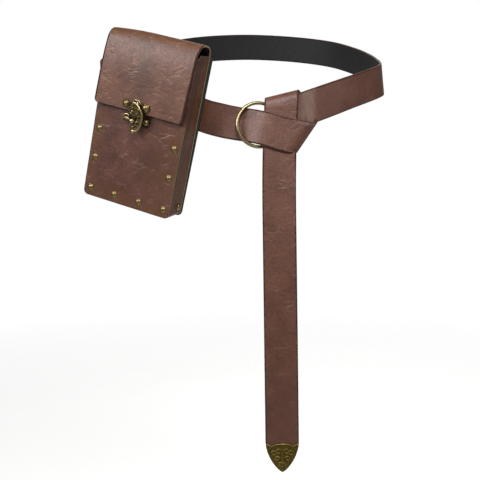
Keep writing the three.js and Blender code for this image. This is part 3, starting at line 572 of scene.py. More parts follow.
# Gusset
# One long strip that makes both sides and the bottom. It is folded inwards along its middle, so it
# shows a soft lengthwise crease, and its cut edges lie between the front and the back.
GUSSET_DEPTH = 27 * MM
GUSSET_CREASE = 2.4 * MM


def crease_depth(share, z):
    """How far the strip is folded in at a share of its depth. The fold fades out at the bottom."""
    full = min(1, max(0, (z - LEATHER / 2) / (3 * CORNER_RADIUS)))
    return GUSSET_CREASE * full * (1 - abs(2 * share - 1)) ** 1.5


radius = CORNER_RADIUS - LEATHER / 2
path = []
for z in CORNER_RADIUS + stops_along(BODY_HEIGHT - CORNER_RADIUS, 3 * MM)[::-1]:
    path.append((LEATHER / 2, z, -1.0, 0.0))
for turn in np.radians(np.arange(9, 90, 9)):
    path.append((
        CORNER_RADIUS - radius * math.cos(turn), CORNER_RADIUS - radius * math.sin(turn),
        -math.cos(turn), -math.sin(turn),
    ))
for x in np.linspace(CORNER_RADIUS, BODY_WIDTH / 2, 18):
    path.append((x, LEATHER / 2, 0.0, -1.0))
path += [(BODY_WIDTH - x, z, -ox, oz) for x, z, ox, oz in path[-2::-1]]
depth_shares = stops_along(GUSSET_DEPTH, 1.6 * MM) / GUSSET_DEPTH
strip = []
for x, z, ox, oz in path:
    near = LEATHER + GAP + top_tuck(z)
    far = LEATHER + GAP + GUSSET_DEPTH
    row = []
    for share in depth_shares:
        depth = crease_depth(share, z)
        row.append((x - ox * depth, near + share * (far - near), z - oz * depth))
    strip.append(row)
strip = np.array(strip)
strip_share = np.broadcast_to(depth_shares, strip.shape[:2])
gusset_warm = np.clip(0.25 + 0.75 * np.exp(-strip[..., 2] / (55 * MM)), 0, 1) * 0.9
crease_line = np.exp(-(((strip_share - 0.5) / 0.07) ** 2)) * 0.5
gusset = leather_sheet(
    "gusset_leather", on_pouch(strip[::-1]), LEATHER, pouch_leather, edge_mm=0.9,
    marks={"warm": np.maximum(gusset_warm, crease_line)[::-1]})
place(gusset, "pouch_leather", "gusset")

# Back and flap
# One piece of leather goes up the back, over the top in an open roll and down the front as the
# flap. Its cut edges stay raw along the back and round the roll and are painted on the flap.
FLAP_WIDTH = 110.6 * MM
FLAP_SHIFT = -1.5 * MM
FLAP_LIFT = 3.4 * MM
FLAP_CORNER = 5 * MM
ROLL_HEIGHT = 11.5 * MM
ROLL_CREST = 14 * MM
ROLL_SAG = 3.7 * MM
CORNER_LIFT = 5.5 * MM
SIDE_WEAR = 13 * MM
BACK_MIDDLE = LEATHER + GAP + GUSSET_DEPTH + GAP + LEATHER / 2


def bezier(points, shares):
    """Points of a cubic curve at shares of its run."""
    a, b, c, d = (np.array(p) for p in points)
    t = np.asarray(shares)[:, None]
    return a * (1 - t) ** 3 + 3 * b * t * (1 - t) ** 2 + 3 * c * t * t * (1 - t) + d * t ** 3


crest_z = BODY_HEIGHT + ROLL_HEIGHT - LEATHER / 2
back_bend = [
    (BACK_MIDDLE, BODY_HEIGHT - 0.5 * MM), (BACK_MIDDLE, BODY_HEIGHT + 7 * MM),
    (ROLL_CREST + 10 * MM, crest_z), (ROLL_CREST, crest_z),
]
flap_line = [
    (ROLL_CREST, crest_z), (ROLL_CREST - 12 * MM, crest_z),
    (-2.2 * MM, BODY_HEIGHT - 15 * MM), (-FLAP_LIFT - LEATHER / 2, FLAP_BOTTOM),
]
lines = []
for z in low_heights:
    inset = corner_inset(z, CORNER_RADIUS)
    lines.append((BACK_MIDDLE, z, inset, BODY_WIDTH - inset, 0.0))
for z in np.linspace(CORNER_RADIUS, BODY_HEIGHT - 4 * MM, 60)[1:]:
    lines.append((BACK_MIDDLE, z, 0.0, BODY_WIDTH, 0.0))
for y, z in bezier(back_bend, np.linspace(0, 1, 20)):
    lines.append((y, z, 0.0, BODY_WIDTH, 0.0))
flap_left = BODY_WIDTH / 2 + FLAP_SHIFT - FLAP_WIDTH / 2
flap_shares = np.concatenate([
    np.linspace(0, 0.94, 56)[1:], [0.955, 0.968, 0.979, 0.988, 0.994, 0.998, 1],
])
for share, (y, z) in zip(flap_shares, bezier(flap_line, flap_shares)):
    blend = min(1, share / 0.4)
    inset = corner_inset(z - FLAP_BOTTOM, FLAP_CORNER)
    right = BODY_WIDTH + (flap_left + FLAP_WIDTH - BODY_WIDTH) * blend
    lines.append((y, z, flap_left * blend + inset, right - inset, share))
wrap = []
for y, z, x0, x1, share in lines:
    x = x0 + across_stops * (x1 - x0)
    left = np.maximum(0, 1 - 2 * x / BODY_WIDTH)
    sag = ROLL_SAG * left * left * max(0, (z - BODY_HEIGHT) / ROLL_HEIGHT)
    wrap.append(np.column_stack([x, np.full_like(x, y), z - sag]))
wrap = np.array(wrap)

# Unevenness, the corners' lift, and wear over the roll, down the sides and at the corners
run = np.array([line[4] for line in lines])[:, None]
is_flap = np.clip(run / 0.25, 0, 1)
wrap[..., 1] += wander(5, wrap, 60 * MM, 0.45 * MM) * is_flap
lift = CORNER_LIFT * np.clip((run - 0.8) / 0.2, 0, 1) ** 2
wrap[..., 1] -= lift * np.clip(np.abs(2 * wrap[..., 0] / BODY_WIDTH - 1) - 0.55, 0, 1) ** 2
crest_warm = np.clip((0.31 - run) / 0.03, 0, 1) * np.clip((run - 0.01) / 0.05, 0, 1)
flap_x = (wrap[..., 0] - flap_left) / FLAP_WIDTH
to_side = np.minimum(flap_x, 1 - flap_x) * FLAP_WIDTH
edge_warm = np.clip(1 - to_side / SIDE_WEAR, 0, 1) * is_flap * 0.5
corner_warm = np.clip((run - 0.82) / 0.18, 0, 1) * np.clip(np.abs(2 * flap_x - 1) - 0.5, 0, 1)
flap = leather_sheet("back_and_flap_leather", on_pouch(wrap), LEATHER, pouch_leather, marks={
    "warm": np.clip(crest_warm * 1.1 + edge_warm * 0.7 + corner_warm, 0, 1),
    "cut": 1 - np.clip((run - 0.06) / 0.12, 0, 1),
})
place(flap, "pouch_leather", "back_flap")

# Black backing
# A thick board of pressed black leather fibre behind the back panel, dull and faintly mottled. Its
# edge shows as a black line beside the gusset and under the pouch's corner.
backing_material, tree, output = new_material("black_backing_board")
fibre = node(tree, "TexNoise", {
    "Vector": node(tree, "Attribute", attribute_name="skin").outputs["Vector"],
    "Scale": 1 / (1.5 * MM), "Detail": 4.0, "Roughness": 0.7,
})
fibre_shade = node(tree, "ValToRGB", {"Fac": fibre.outputs["Fac"]}, stops=[
    (0.3, colour("#0e0d0d")), (0.7, colour("#1b1a19")),
])
fibre_bump = node(tree, "Bump", {
    "Height": fibre.outputs["Fac"], "Strength": 0.5, "Distance": 0.2 * MM,
})
board = node(tree, "BsdfPrincipled", {
    "Base Color": fibre_shade.outputs["Color"], "Roughness": 0.75,
    "Normal": fibre_bump.outputs["Normal"],
})
tree.links.new(board.outputs["BSDF"], output.inputs["Surface"])

BOARD_MARGIN = 1.5 * MM
BOARD_SPLAY = 1.8 * MM
back_low, back_high = pouch_box("back_lining")
BACKING = back_high[1] - back_low[1]
board_width = BODY_WIDTH + 2 * BOARD_MARGIN
board_heights = np.concatenate([low_heights, np.linspace(CORNER_RADIUS, back_high[2], 40)[1:]])
slab = []
for z in board_heights:
    inset = corner_inset(z, CORNER_RADIUS)
    right_margin = BOARD_SPLAY * z / back_high[2]
    x = inset + across_stops[::3] * (board_width + right_margin - 2 * inset) - BOARD_MARGIN
    y = np.full_like(x, back_low[1] + BACKING / 2)
    slab.append(np.column_stack([x, y, np.full_like(x, z - BOARD_MARGIN * (1 - z / back_high[2]))]))
backing = leather_sheet("black_backing_board", on_pouch(slab), BACKING, backing_material)
place(backing, "black_backing", "back_lining")

# Belt loops
# Two short straps riveted to the back above and below the belt, standing off it so that the belt
# slides through. They are hidden in front and are plain.
LOOP_THICKNESS = 1.6 * MM
# Share of the loop's height, and share of its full stand off the back
LOOP_LINE = [
    (0, 0), (0.09, 0), (0.17, 0), (0.2, 0.35), (0.235, 0.85), (0.35, 0.97), (0.5, 1),
    (0.65, 0.97), (0.765, 0.85), (0.8, 0.35), (0.83, 0), (0.91, 0), (1, 0),
]
for side in ("left", "right"):
    low, high = pouch_box(f"belt_loop_{side}")
    foot = low[1] + LOOP_THICKNESS / 2
    out = high[1] - LOOP_THICKNESS / 2
    shares = np.linspace(0, 1, 60)
    loop_z = low[2] + shares * (high[2] - low[2])
    loop_y = foot + np.interp(shares, *zip(*LOOP_LINE)) * (out - foot)
    loop_x = low[0] + np.linspace(0, 1, 12) * (high[0] - low[0])
    band = [[(x, y, z) for x in loop_x] for y, z in zip(loop_y, loop_z)]
    piece = leather_sheet(
        f"belt_loop_{side}_leather", on_pouch(band), LOOP_THICKNESS, pouch_leather)
    place(piece, "pouch_leather", f"belt_loop_{side}")

# Antique brass
# Cast and turned brass, dipped to darken it and rubbed back: olive brown in the hollows, pale gold
# on every edge and crown.


def antique_brass(name, bright, mid, dark, roughness, unevenness):
    """Brass whose patina is dark in hollows and worn off the raised places."""
    material, tree, output = new_material(name)
    raised = node(tree, "NewGeometry").outputs["Pointiness"]
    where = node(tree, "TexCoord").outputs["Object"]
    blotch = node(tree, "TexNoise", {
        "Vector": where, "Scale": 1 / (2.2 * MM), "Detail": 4.0, "Roughness": 0.65,
    })
    height = node(tree, "MapRange", {
        "Value": raised, "From Min": 0.46, "From Max": 0.6, "To Min": 0.0, "To Max": 1.0,
    })
    spread = node(tree, "MapRange", {
        "Value": blotch.outputs["Fac"], "From Min": 0.3, "From Max": 0.7, "To Min": -unevenness,
        "To Max": unevenness,
    })
    level = node(tree, "Math", {
        0: height.outputs["Result"], 1: spread.outputs["Result"],
    }, operation="ADD", use_clamp=True)
    shade = node(tree, "ValToRGB", {"Fac": level.outputs[0]}, stops=[
        (0.1, colour(dark)), (0.45, colour(mid)), (0.85, colour(bright)),
    ])
    dull = node(tree, "MapRange", {
        "Value": level.outputs[0], "To Min": roughness + 0.2, "To Max": roughness - 0.06,
    })
    bump = node(tree, "Bump", {
        "Height": blotch.outputs["Fac"], "Strength": unevenness * 0.5, "Distance": 0.1 * MM,
    })
    shader = node(tree, "BsdfPrincipled", {
        "Base Color": shade.outputs["Color"], "Metallic": 1.0, "Roughness": dull.outputs["Result"],
        "Normal": bump.outputs["Normal"],
    })
    tree.links.new(shader.outputs["BSDF"], output.inputs["Surface"])
    return material


# Pressed rivet caps, rubbed evenly pale
rivet_brass = antique_brass(
    "antique_rivet_brass", "#b8a682", "#877550", "#4c3f26", roughness=0.3, unevenness=0.05)
# Cast bars and balls, the brightest brass, where a thumb rubs them
cast_brass = antique_brass(
    "antique_cast_brass", "#c8b898", "#8f8058", "#3a3018", roughness=0.26, unevenness=0.1)
# Cast plates and scrolls behind them, left dark so that the bars stand out
plate_brass = antique_brass(
    "antique_plate_brass", "#857654", "#4a4024", "#1c160a", roughness=0.36, unevenness=0.2)
# The strap's tip, olive all over with its relief a little paler
tip_brass = antique_brass(
    "antique_tip_brass", "#a08c58", "#6f5f2c", "#41351a", roughness=0.36, unevenness=0.2)
# Drawn ring wire, polished by the strap, with hardly any patina
ring_brass = antique_brass(
    "antique_ring_brass", "#b5a88a", "#8c7d5e", "#66583c", roughness=0.24, unevenness=0.0)

# Rivets
# Domed brass caps pressed on tubular rivets, through the leather and a plain burr behind it. A
# narrow flat collar rings each dome.
POUCH_OUT = {
    "front": -POUCH_AXES[1], "back": POUCH_AXES[1], "left": -POUCH_AXES[0], "right": POUCH_AXES[0],
}
SHANK = 3 * MM
SHANK_RADIUS = 1.4 * MM
COLLAR = 0.14


def circle(centre, side, other, radius, sides):
    """Corners of a circle whose plane holds the two crossed directions."""
    turns = [2 * math.pi * k / sides for k in range(sides)]
    return [centre + (side * math.cos(t) + other * math.sin(t)) * radius for t in turns]


def new_piece(name, points, faces, material):
    """A piece made of its corners and faces."""
    mesh = bpy.data.meshes.new(name)
    mesh.from_pydata([tuple(p) for p in points], [], faces)
    return finish_piece(name, mesh, material)


def turned(name, profile, start, axis, material, sides=40):
    """A turned piece: radius and height pairs, swept round an axis from a start point."""
    axis = Vector(axis).normalized()
    side = axis.orthogonal().normalized()
    other = axis.cross(side)
    points, faces, rings = [], [], []
    for radius, height in profile:
        at = Vector(start) + axis * height
        if radius < 1e-6:
            rings.append([len(points)] * sides)
            points.append(at)
            continue
        rings.append([len(points) + k for k in range(sides)])
        points += circle(at, side, other, radius, sides)
    for lower, upper in zip(rings, rings[1:]):
        for k in range(sides):
            m = (k + 1) % sides
            quad = list(dict.fromkeys((lower[k], lower[m], upper[m], upper[k])))
            if len(quad) > 2:
                faces.append(quad)
    return new_piece(name, points, faces, material)


def dome_profile(radius, height):
    """Outline of a rivet from its shank's end up over its dome."""
    flat = radius * (1 - COLLAR)
    outline = [
        (0, -SHANK), (SHANK_RADIUS, -SHANK), (SHANK_RADIUS, -0.05 * MM), (radius, -0.05 * MM),
    ]
    outline += [(radius, 0.25 * MM), (radius * 0.97, 0.38 * MM), (flat, 0.4 * MM)]
    for turn in np.radians(np.arange(10, 90, 8)):
        outline.append((flat * math.cos(turn), 0.4 * MM + (height - 0.4 * MM) * math.sin(turn)))
    return [*outline, (0, height)]


def rivet(name, facing, radius_mm, height_mm):
    """Replaces a frame rivet by a domed one whose crown is at the same place."""
    axis = POUCH_OUT[facing]
    height = height_mm * MM
    centre = on_pouch(rivet_place(name))
    top = (points_of(name) @ axis).max()
    base = centre + axis * (top - height - centre @ axis)
    piece = turned(f"{name}_dome", dome_profile(radius_mm * MM, height), base, axis, rivet_brass)
    place(piece, "aged_brass", name)


for name in FRONT_RIVETS:
    rivet(name, "front", 3.9, 2.0)
for side in ("left", "right"):
    rivet(f"gusset_rivet_{side}", side, 3.9, 2.0)
    for end in ("lower", "upper"):
        rivet(f"loop_rivet_{side}_{end}", "back", 3.7, 1.8)

# Clasp plates
# Two lobed cast plates, one on the flap with the pivot stud and one on the front with the catch
# knob. Each is held by two domed rivets. Bars and scrolls are cast on them.
PLATE = 1.2 * MM
CASTING_BEVEL = 0.25 * MM
HOOK_INSET = 1.2 * MM
LOBE_RADII_MM = (4.4, 5.6, 4.7)
WAIST_MM = 2.4
KNOB_HEAD_MM = 2.7
PIVOT = np.array(frame["joints"][0]["pos_m"]) @ POUCH_AXES.T - POUCH_CORNER


def bar_through(points, radii, name, material, sides=14):
    """A round bar of changing thickness along points in the frame's axes, closed at its ends."""
    points = np.asarray(points, float)
    tangents = np.gradient(points, axis=0)
    tangents /= np.linalg.norm(tangents, axis=1, keepdims=True)
    side = np.cross(tangents[0], inward)
    verts, faces = [points[0]], []
    for point, tangent, radius in zip(points, tangents, radii):
        side -= side.dot(tangent) * tangent
        side /= np.linalg.norm(side)
        verts += circle(point, side, np.cross(tangent, side), radius, sides)
    verts.append(points[-1])
    last = len(verts) - 1
    for k in range(sides):
        m = (k + 1) % sides
        faces.append((0, 1 + m, 1 + k))
        for ring in range(len(points) - 1):
            a = 1 + ring * sides
            faces.append((a + k, a + m, a + sides + m, a + sides + k))
        faces.append((last, last - sides + k, last - sides + m))
    return new_piece(name, verts, faces, material)


def smooth_between(values, run, at):
    """Values at stations along a run, carried smoothly to places between them."""
    slopes = np.gradient(values, run, axis=0)
    k = np.clip(np.searchsorted(run, at, side="right") - 1, 0, len(run) - 2)
    h = (run[k + 1] - run[k])[:, None]
    s = ((at - run[k]) / h[:, 0])[:, None]
    return (
        values[k] * (2 * s ** 3 - 3 * s ** 2 + 1) + slopes[k] * h * (s ** 3 - 2 * s ** 2 + s)
        + values[k + 1] * (3 * s ** 2 - 2 * s ** 3) + slopes[k + 1] * h * (s ** 3 - s ** 2))


def smooth_path(points, count=28):
    """A smooth run through a few points in the clasp's plane."""
    points = np.asarray(points, float)
    run = run_along(points)
    return smooth_between(points, run, np.linspace(0, run[-1], count))


def scroll(name, points_mm, thick_mm, y, lift_mm, material):
    """A bar in the clasp's plane, through points in mm from the pivot. thick_mm is its radii."""
    flat = smooth_path(points_mm)
    shares = np.linspace(0, 1, len(flat))
    radii = np.interp(shares, np.linspace(0, 1, len(thick_mm)), thick_mm) * MM
    arched = y - lift_mm * MM * np.sin(math.pi * shares)
    local = np.column_stack([PIVOT[0] + flat[:, 0] * MM, arched, PIVOT[2] + flat[:, 1] * MM])
    return bar_through(on_pouch(local), radii, name, material)


def joined(name, pieces):
    """Joins several pieces into one object."""
    bpy.ops.object.select_all(action="DESELECT")
    for piece in pieces:
        piece.select_set(True)
    bpy.context.view_layer.objects.active = pieces[0]
    bpy.ops.object.join()
    pieces[0].name = name
    return pieces[0]


def cast_slab(name, outlines, middle, back, thickness):
    """A flat casting with a bevelled edge, from outlines in the clasp's plane, the holes last."""
    curve = bpy.data.curves.new(name, "CURVE")
    curve.dimensions = "2D"
    curve.fill_mode = "BOTH"
    curve.extrude = thickness / 2 - CASTING_BEVEL
    curve.bevel_depth = CASTING_BEVEL
    curve.bevel_resolution = 2
    for outline in outlines:
        spline = curve.splines.new("POLY")
        spline.points.add(len(outline) - 1)
        spline.use_cyclic_u = True
        for point, (a, b) in zip(spline.points, outline):
            point.co = (a, b, 0, 1)
    holder = add_object(name, curve)
    evaluated = holder.evaluated_get(bpy.context.evaluated_depsgraph_get())
    mesh = bpy.data.meshes.new_from_object(evaluated)
    bpy.data.objects.remove(holder)
    flat = np.array([vertex.co for vertex in mesh.vertices])
    depth = back - thickness / 2 - flat[:, 2]
    local = np.column_stack([middle[0] + flat[:, 0], depth, middle[2] + flat[:, 1]])
    mesh.vertices.foreach_set("co", on_pouch(local).astype(np.float32).ravel())
    return finish_piece(name, mesh, plate_brass)


def flat_casting(name, outline_mm, holes_mm, back, thickness):
    """A pierced casting whose outline runs smoothly through points in mm from the pivot."""
    closed = [*outline_mm, *outline_mm[:3]]
    smooth = smooth_path(closed, 240)
    start = np.argmin(np.linalg.norm(smooth[:60] - outline_mm[1], axis=1))
    end = 120 + np.argmin(np.linalg.norm(smooth[120:] - outline_mm[1], axis=1))
    outlines = [smooth[start:end] * MM]
    turns = np.linspace(0, 2 * math.pi, 20, endpoint=False)
    for x, z, r in holes_mm:
        outlines.append(np.column_stack([x + r * np.cos(turns), z + r * np.sin(turns)]) * MM)
    return cast_slab(name, outlines, PIVOT, back, thickness)


def lobed_plate(name, middle, back, span):
    """A cast plate with its outline round three lobes, the outer two on the rivets."""
    lobes = [(place_x, r * MM) for place_x, r in zip((-span, 0, span), LOBE_RADII_MM)]
    reach = max(abs(x) + r for x, r in lobes)
    x = np.sin(np.linspace(-math.pi / 2, math.pi / 2, 70)) * reach
    heights = [np.sqrt(np.maximum(0, r * r - (x - c) ** 2)) for c, r in lobes]
    inner = np.where(np.abs(x) < reach - lobes[0][1], WAIST_MM * MM, 0)
    tall = np.maximum(np.max(heights, axis=0), inner)
    outline = [*zip(x, tall), *zip(x[-2:0:-1], -tall[-2:0:-1])]
    return cast_slab(name, [outline], middle, back, PLATE)


def ball(name, x, y, z, radius):
    """A small cast bead in the pouch's axes."""
    mesh = bpy.data.meshes.new(name)
    shape = bmesh.new()
    bmesh.ops.create_uvsphere(shape, u_segments=20, v_segments=14, radius=radius)
    for vertex in shape.verts:
        vertex.co += Vector(on_pouch((x, y, z)))
    shape.to_mesh(mesh)
    shape.free()
    return finish_piece(name, mesh, cast_brass)


# The hook's casting lies a little further out than the back of its ball in the frame
HOOK_BACK = pouch_box("swing_hook")[1][1] - HOOK_INSET
plates = {}
for end in ("upper", "lower"):
    back = pouch_box(f"clasp_{end}_plate")[1][1]
    left_rivet = rivet_place(f"clasp_rivet_{end}_left")
    right_rivet = rivet_place(f"clasp_rivet_{end}_right")
    middle = (left_rivet + right_rivet) / 2
    span = (right_rivet[0] - left_rivet[0]) / 2
    plates[end] = (middle, back, [lobed_plate(f"{end}_plate_body", middle, back, span)])

middle, back, pieces = plates["upper"]
out_axis = POUCH_OUT["front"]
stud_foot = on_pouch((PIVOT[0], back - PLATE, PIVOT[2]))
stand_off = back - PLATE - HOOK_BACK
pieces.append(turned("pivot_boss", [
    (0, -0.2 * MM), (3.4 * MM, -0.2 * MM), (3.2 * MM, stand_off * 0.6),
    (2.6 * MM, stand_off - 0.3 * MM), (0, stand_off - 0.3 * MM),
], stud_foot, out_axis, cast_brass))
pieces.append(turned("pivot_cap", [
    (0, 0), (1.5 * MM, 0), (1.5 * MM, stand_off + 1.9 * MM), (2.2 * MM, stand_off + 1.9 * MM),
    (2.1 * MM, stand_off + 2.3 * MM), (1.5 * MM, stand_off + 2.6 * MM),
    (0.7 * MM, stand_off + 2.75 * MM), (0, stand_off + 2.8 * MM),
], stud_foot, out_axis, plate_brass))
pieces.append(scroll("upper_rim_arc", [
    (-3.8, 3.2), (-1.8, 4.6), (1.0, 4.7), (3.6, 3.5), (5.4, 1.9),
], (0.6, 0.8, 0.8, 0.6), HOOK_BACK + 1.2 * MM, 0.0, cast_brass))
place(joined("clasp_upper_plate_cast", pieces), "aged_brass", "clasp_upper_plate")

middle, back, pieces = plates["lower"]
knob_foot = on_pouch((middle[0], back - PLATE, middle[2]))
knob_reach = back - PLATE - HOOK_BACK
pieces.append(turned("catch_knob_neck", [
    (0, -0.2 * MM), (3.3 * MM, -0.2 * MM), (2.6 * MM, 0.8 * MM), (2.0 * MM, knob_reach * 0.5),
    (1.9 * MM, knob_reach + 1.6 * MM), (0, knob_reach + 1.6 * MM),
], knob_foot, out_axis, plate_brass))
knob_head = (middle[0], HOOK_BACK - 2.9 * MM, middle[2])
pieces.append(ball("catch_knob_head", *knob_head, KNOB_HEAD_MM * MM))
LOWER_SCROLLS = {
    "catch_arc": [(-14.6, -18.4), (-15.2, -15.4), (-13.2, -13.4), (-10.4, -13.8), (-8.2, -15.8)],
    "catch_link": [(-12.6, -17.0), (-9.8, -17.6), (-7.0, -18.6), (-4.2, -19.2)],
}
for name, path in LOWER_SCROLLS.items():
    pieces.append(scroll(
        name, path, (0.8, 1.05, 1.05, 0.8), back - PLATE - 1.6 * MM, 0.4, cast_brass))
place(joined("clasp_lower_plate_cast", pieces), "aged_brass", "clasp_lower_plate")

rivet("clasp_rivet_upper_left", "front", 3.6, 2.8)
rivet("clasp_rivet_upper_right", "front", 4.4, 2.8)
rivet("clasp_rivet_lower_left", "front", 2.2, 1.4)
rivet("clasp_rivet_lower_right", "front", 3.3, 2.2)

# Swing hook
# A cast crescent that turns on the pivot stud and closes round the catch knob. Scrolls and beads
# fill it, and its lower end is a ball that a thumb pushes. All places are in mm from the pivot.
HOOK_OUTLINE = [
    (-3.6, -2.2), (-4.1, 0.2), (-3.0, 2.6), (-0.2, 2.5), (3.2, 0.6), (6.6, -2.2), (9.3, -5.6),
    (11.4, -10.0), (11.6, -15.0), (11.0, -20.2), (9.4, -24.4), (6.8, -27.9), (4.0, -29.4),
    (1.2, -28.4), (-0.8, -26.4), (-1.8, -23.8), (-0.9, -22.4), (1.4, -21.8), (3.8, -21.4),
    (4.6, -19.2), (4.2, -16.6), (4.9, -14.2), (3.6, -12.6), (1.2, -12.4), (-0.8, -12.2),
    (-3.2, -11.2), (-5.4, -10.4), (-6.2, -8.2), (-5.2, -6.2), (-4.2, -4.4),
]
# Place and radius of each piercing
HOOK_PIERCINGS = [
    (4.2, -8.2, 1.5), (-2.6, -8.0, 1.1), (5.0, -23.6, 1.3), (8.4, -13.2, 0.9), (1.2, -24.6, 0.8),
]
# Path, radii from end to end and outward arch of each bar
SCROLLS = {
    "crescent": ([
        (-3.5, -0.8), (-2.8, 1.6), (0.0, 1.9), (3.0, 0.0), (6.3, -2.8), (8.9, -6.1), (10.8, -10.2),
        (10.7, -15.2), (10.2, -20.2), (8.7, -24.2), (6.4, -27.4), (4.1, -28.7),
    ], (0.7, 0.9, 1.05, 1.1, 1.05, 0.9), 0.6),
    "upper_right_scroll": ([
        (1.6, -3.6), (5.6, -4.6), (7.0, -8.2), (4.4, -10.6), (2.0, -9.0), (3.2, -6.8),
    ], (0.8, 0.75, 0.6, 0.35), 0.2),
    "upper_left_scroll": ([
        (-1.8, -3.6), (-4.9, -6.2), (-5.2, -9.0), (-2.8, -10.4), (-1.0, -8.6), (-2.6, -6.6),
    ], (0.75, 0.7, 0.55, 0.35), 0.2),
    "middle_scroll": ([
        (9.4, -10.2), (6.6, -11.8), (6.0, -14.4), (8.0, -15.4), (9.2, -13.8),
    ], (0.45, 0.7, 0.6, 0.35), 0.2),
    "lower_leaf": ([
        (9.2, -17.4), (6.2, -18.8), (5.8, -21.4), (7.6, -22.4),
    ], (0.5, 0.8, 0.6, 0.3), 0.2),
    "lower_scroll": ([
        (7.0, -23.2), (4.6, -21.8), (3.0, -23.8), (4.8, -25.6), (6.4, -24.6),
    ], (0.5, 0.7, 0.6, 0.35), 0.2),
}
hook_pieces = [flat_casting("hook_body", HOOK_OUTLINE, HOOK_PIERCINGS, HOOK_BACK, 1.4 * MM)]
for name, (path, thick, lift) in SCROLLS.items():
    metal = cast_brass if name == "crescent" else plate_brass
    hook_pieces.append(scroll(name, path, thick, HOOK_BACK - 1.4 * MM, lift, metal))
# Place and radius of each bead. The first is the ball at the lower end.
BEADS = [
    (3.0, -28.8, 2.4), (4.0, -7.8, 0.8), (-2.9, -7.8, 0.8), (0.9, -24.4, 0.8), (4.6, -17.9, 0.9),
]
for x, z, r in BEADS:
    bead_y = HOOK_BACK - max(r, 1.2) * MM
    hook_pieces.append(ball("hook_bead", PIVOT[0] + x * MM, bead_y, PIVOT[2] + z * MM, r * MM))
place(joined("swing_hook_cast", hook_pieces), "aged_brass", "swing_hook", body="hook")

# Belt strap
# One long strap, brown outside and black inside, with painted edges. It is read from the frame's
# ribbon station by station, from the tail's end to the ring, then made smooth between them.
STRAP_THICKNESS = 2.8 * MM
STRAP_STEP = 2.6 * MM
IN_TIP_STATIONS = 6
RING_BEND = (500 * MM, 572 * MM)
RING_BEND_PASSES = 16
# Where the painted sheen lies on the strap, and how strongly it is painted
SHEEN_PATCH_X = 71 * MM
SHEEN_PATCH_REACH = 9 * MM
SHEEN_PATCH_LOW = -65 * MM
SHEEN_PATCH_SHARE = 0.62


def strap_stations():
    """Four corners of the frame's strap at each of its stations, from the tail's end to the ring."""
    shape = bmesh.new()
    shape.from_mesh(frame["nodes"]["belt_strap"].data)
    bmesh.ops.remove_doubles(shape, verts=shape.verts, dist=1e-6)
    shape.verts.ensure_lookup_table()
    lowest = sorted(shape.verts, key=lambda vertex: vertex.co.z)[:4]
    lowest.sort(key=lambda vertex: vertex.co.x)
    level = [
        *sorted(lowest[:2], key=lambda vertex: vertex.co.y),
        *sorted(lowest[2:], key=lambda vertex: vertex.co.y),
    ]
    seen, found = set(level), []
    while len(level) == 4:
        here = np.array([vertex.co for vertex in level])
        found.append(here)
        after = {edge.other_vert(vertex) for vertex in level for edge in vertex.link_edges} - seen
        seen |= after
        after = list(after)
        if len(after) != 4:
            break
        there = np.array([vertex.co for vertex in after])
        apart = there - there.mean(0)
        before = here - here.mean(0)
        order = min(permutations(range(4)), key=lambda p: ((apart[list(p)] - before) ** 2).sum())
        level = [after[k] for k in order]
    shape.free()
    return np.array(found)


stations = strap_stations()
left_edge = stations[:, :2].mean(1)
right_edge = stations[:, 2:].mean(1)
centre_line = (left_edge + right_edge) / 2
run = run_along(centre_line)
fine_run = []
for a, b in zip(run, run[1:]):
    fine_run += list(np.linspace(a, b, max(1, math.ceil((b - a) / STRAP_STEP)), endpoint=False))
fine_run = np.array([*fine_run, run[-1]])
fine_left = smooth_between(left_edge, run, fine_run)
fine_right = smooth_between(right_edge, run, fine_run)

# The part inside the tip keeps the frame's straight sides, and the bend at the ring is eased
in_tip = fine_run < run[IN_TIP_STATIONS]
for fine, edge in ((fine_left, left_edge), (fine_right, right_edge)):
    for k in range(3):
        fine[in_tip, k] = np.interp(fine_run[in_tip], run, edge[:, k])
at_ring = np.flatnonzero((fine_run > RING_BEND[0]) & (fine_run < RING_BEND[1]))
for _ in range(RING_BEND_PASSES):
    for fine in (fine_left, fine_right):
        fine[at_ring] = (fine[at_ring - 1] + 2 * fine[at_ring] + fine[at_ring + 1]) / 4
width_shares = np.array([
    0, 0.025, 0.06, 0.15, 0.25, 0.375, 0.5, 0.625, 0.75, 0.85, 0.94, 0.975, 1,
])[None, :, None]
ribbon = fine_left[:, None] * (1 - width_shares) + fine_right[:, None] * width_shares

# The brown side faces out. Beside the knot a painted sheen lies on it: a pale grey patch that stands
# for a light's reflection
outer_side = (stations[0, 0] - stations[0, 1]) + (stations[0, 2] - stations[0, 3])
facing = np.cross(np.gradient(ribbon, axis=0)[2, 6], np.gradient(ribbon, axis=1)[2, 6])
if facing @ outer_side < 0:
    ribbon = ribbon[:, ::-1]
sheen_band = np.exp(-(((ribbon[..., 0] - SHEEN_PATCH_X) / SHEEN_PATCH_REACH) ** 4))
in_front = (ribbon[..., 1] < -100 * MM) & (ribbon[..., 2] > SHEEN_PATCH_LOW)
strap = leather_sheet(
    "belt_strap_leather", ribbon, STRAP_THICKNESS, strap_leather, edge_mm=1.8, rim_shade=0.15,
    marks={"painted_sheen": sheen_band * in_front * SHEEN_PATCH_SHARE})
place(strap, "belt_leather", "belt_strap")

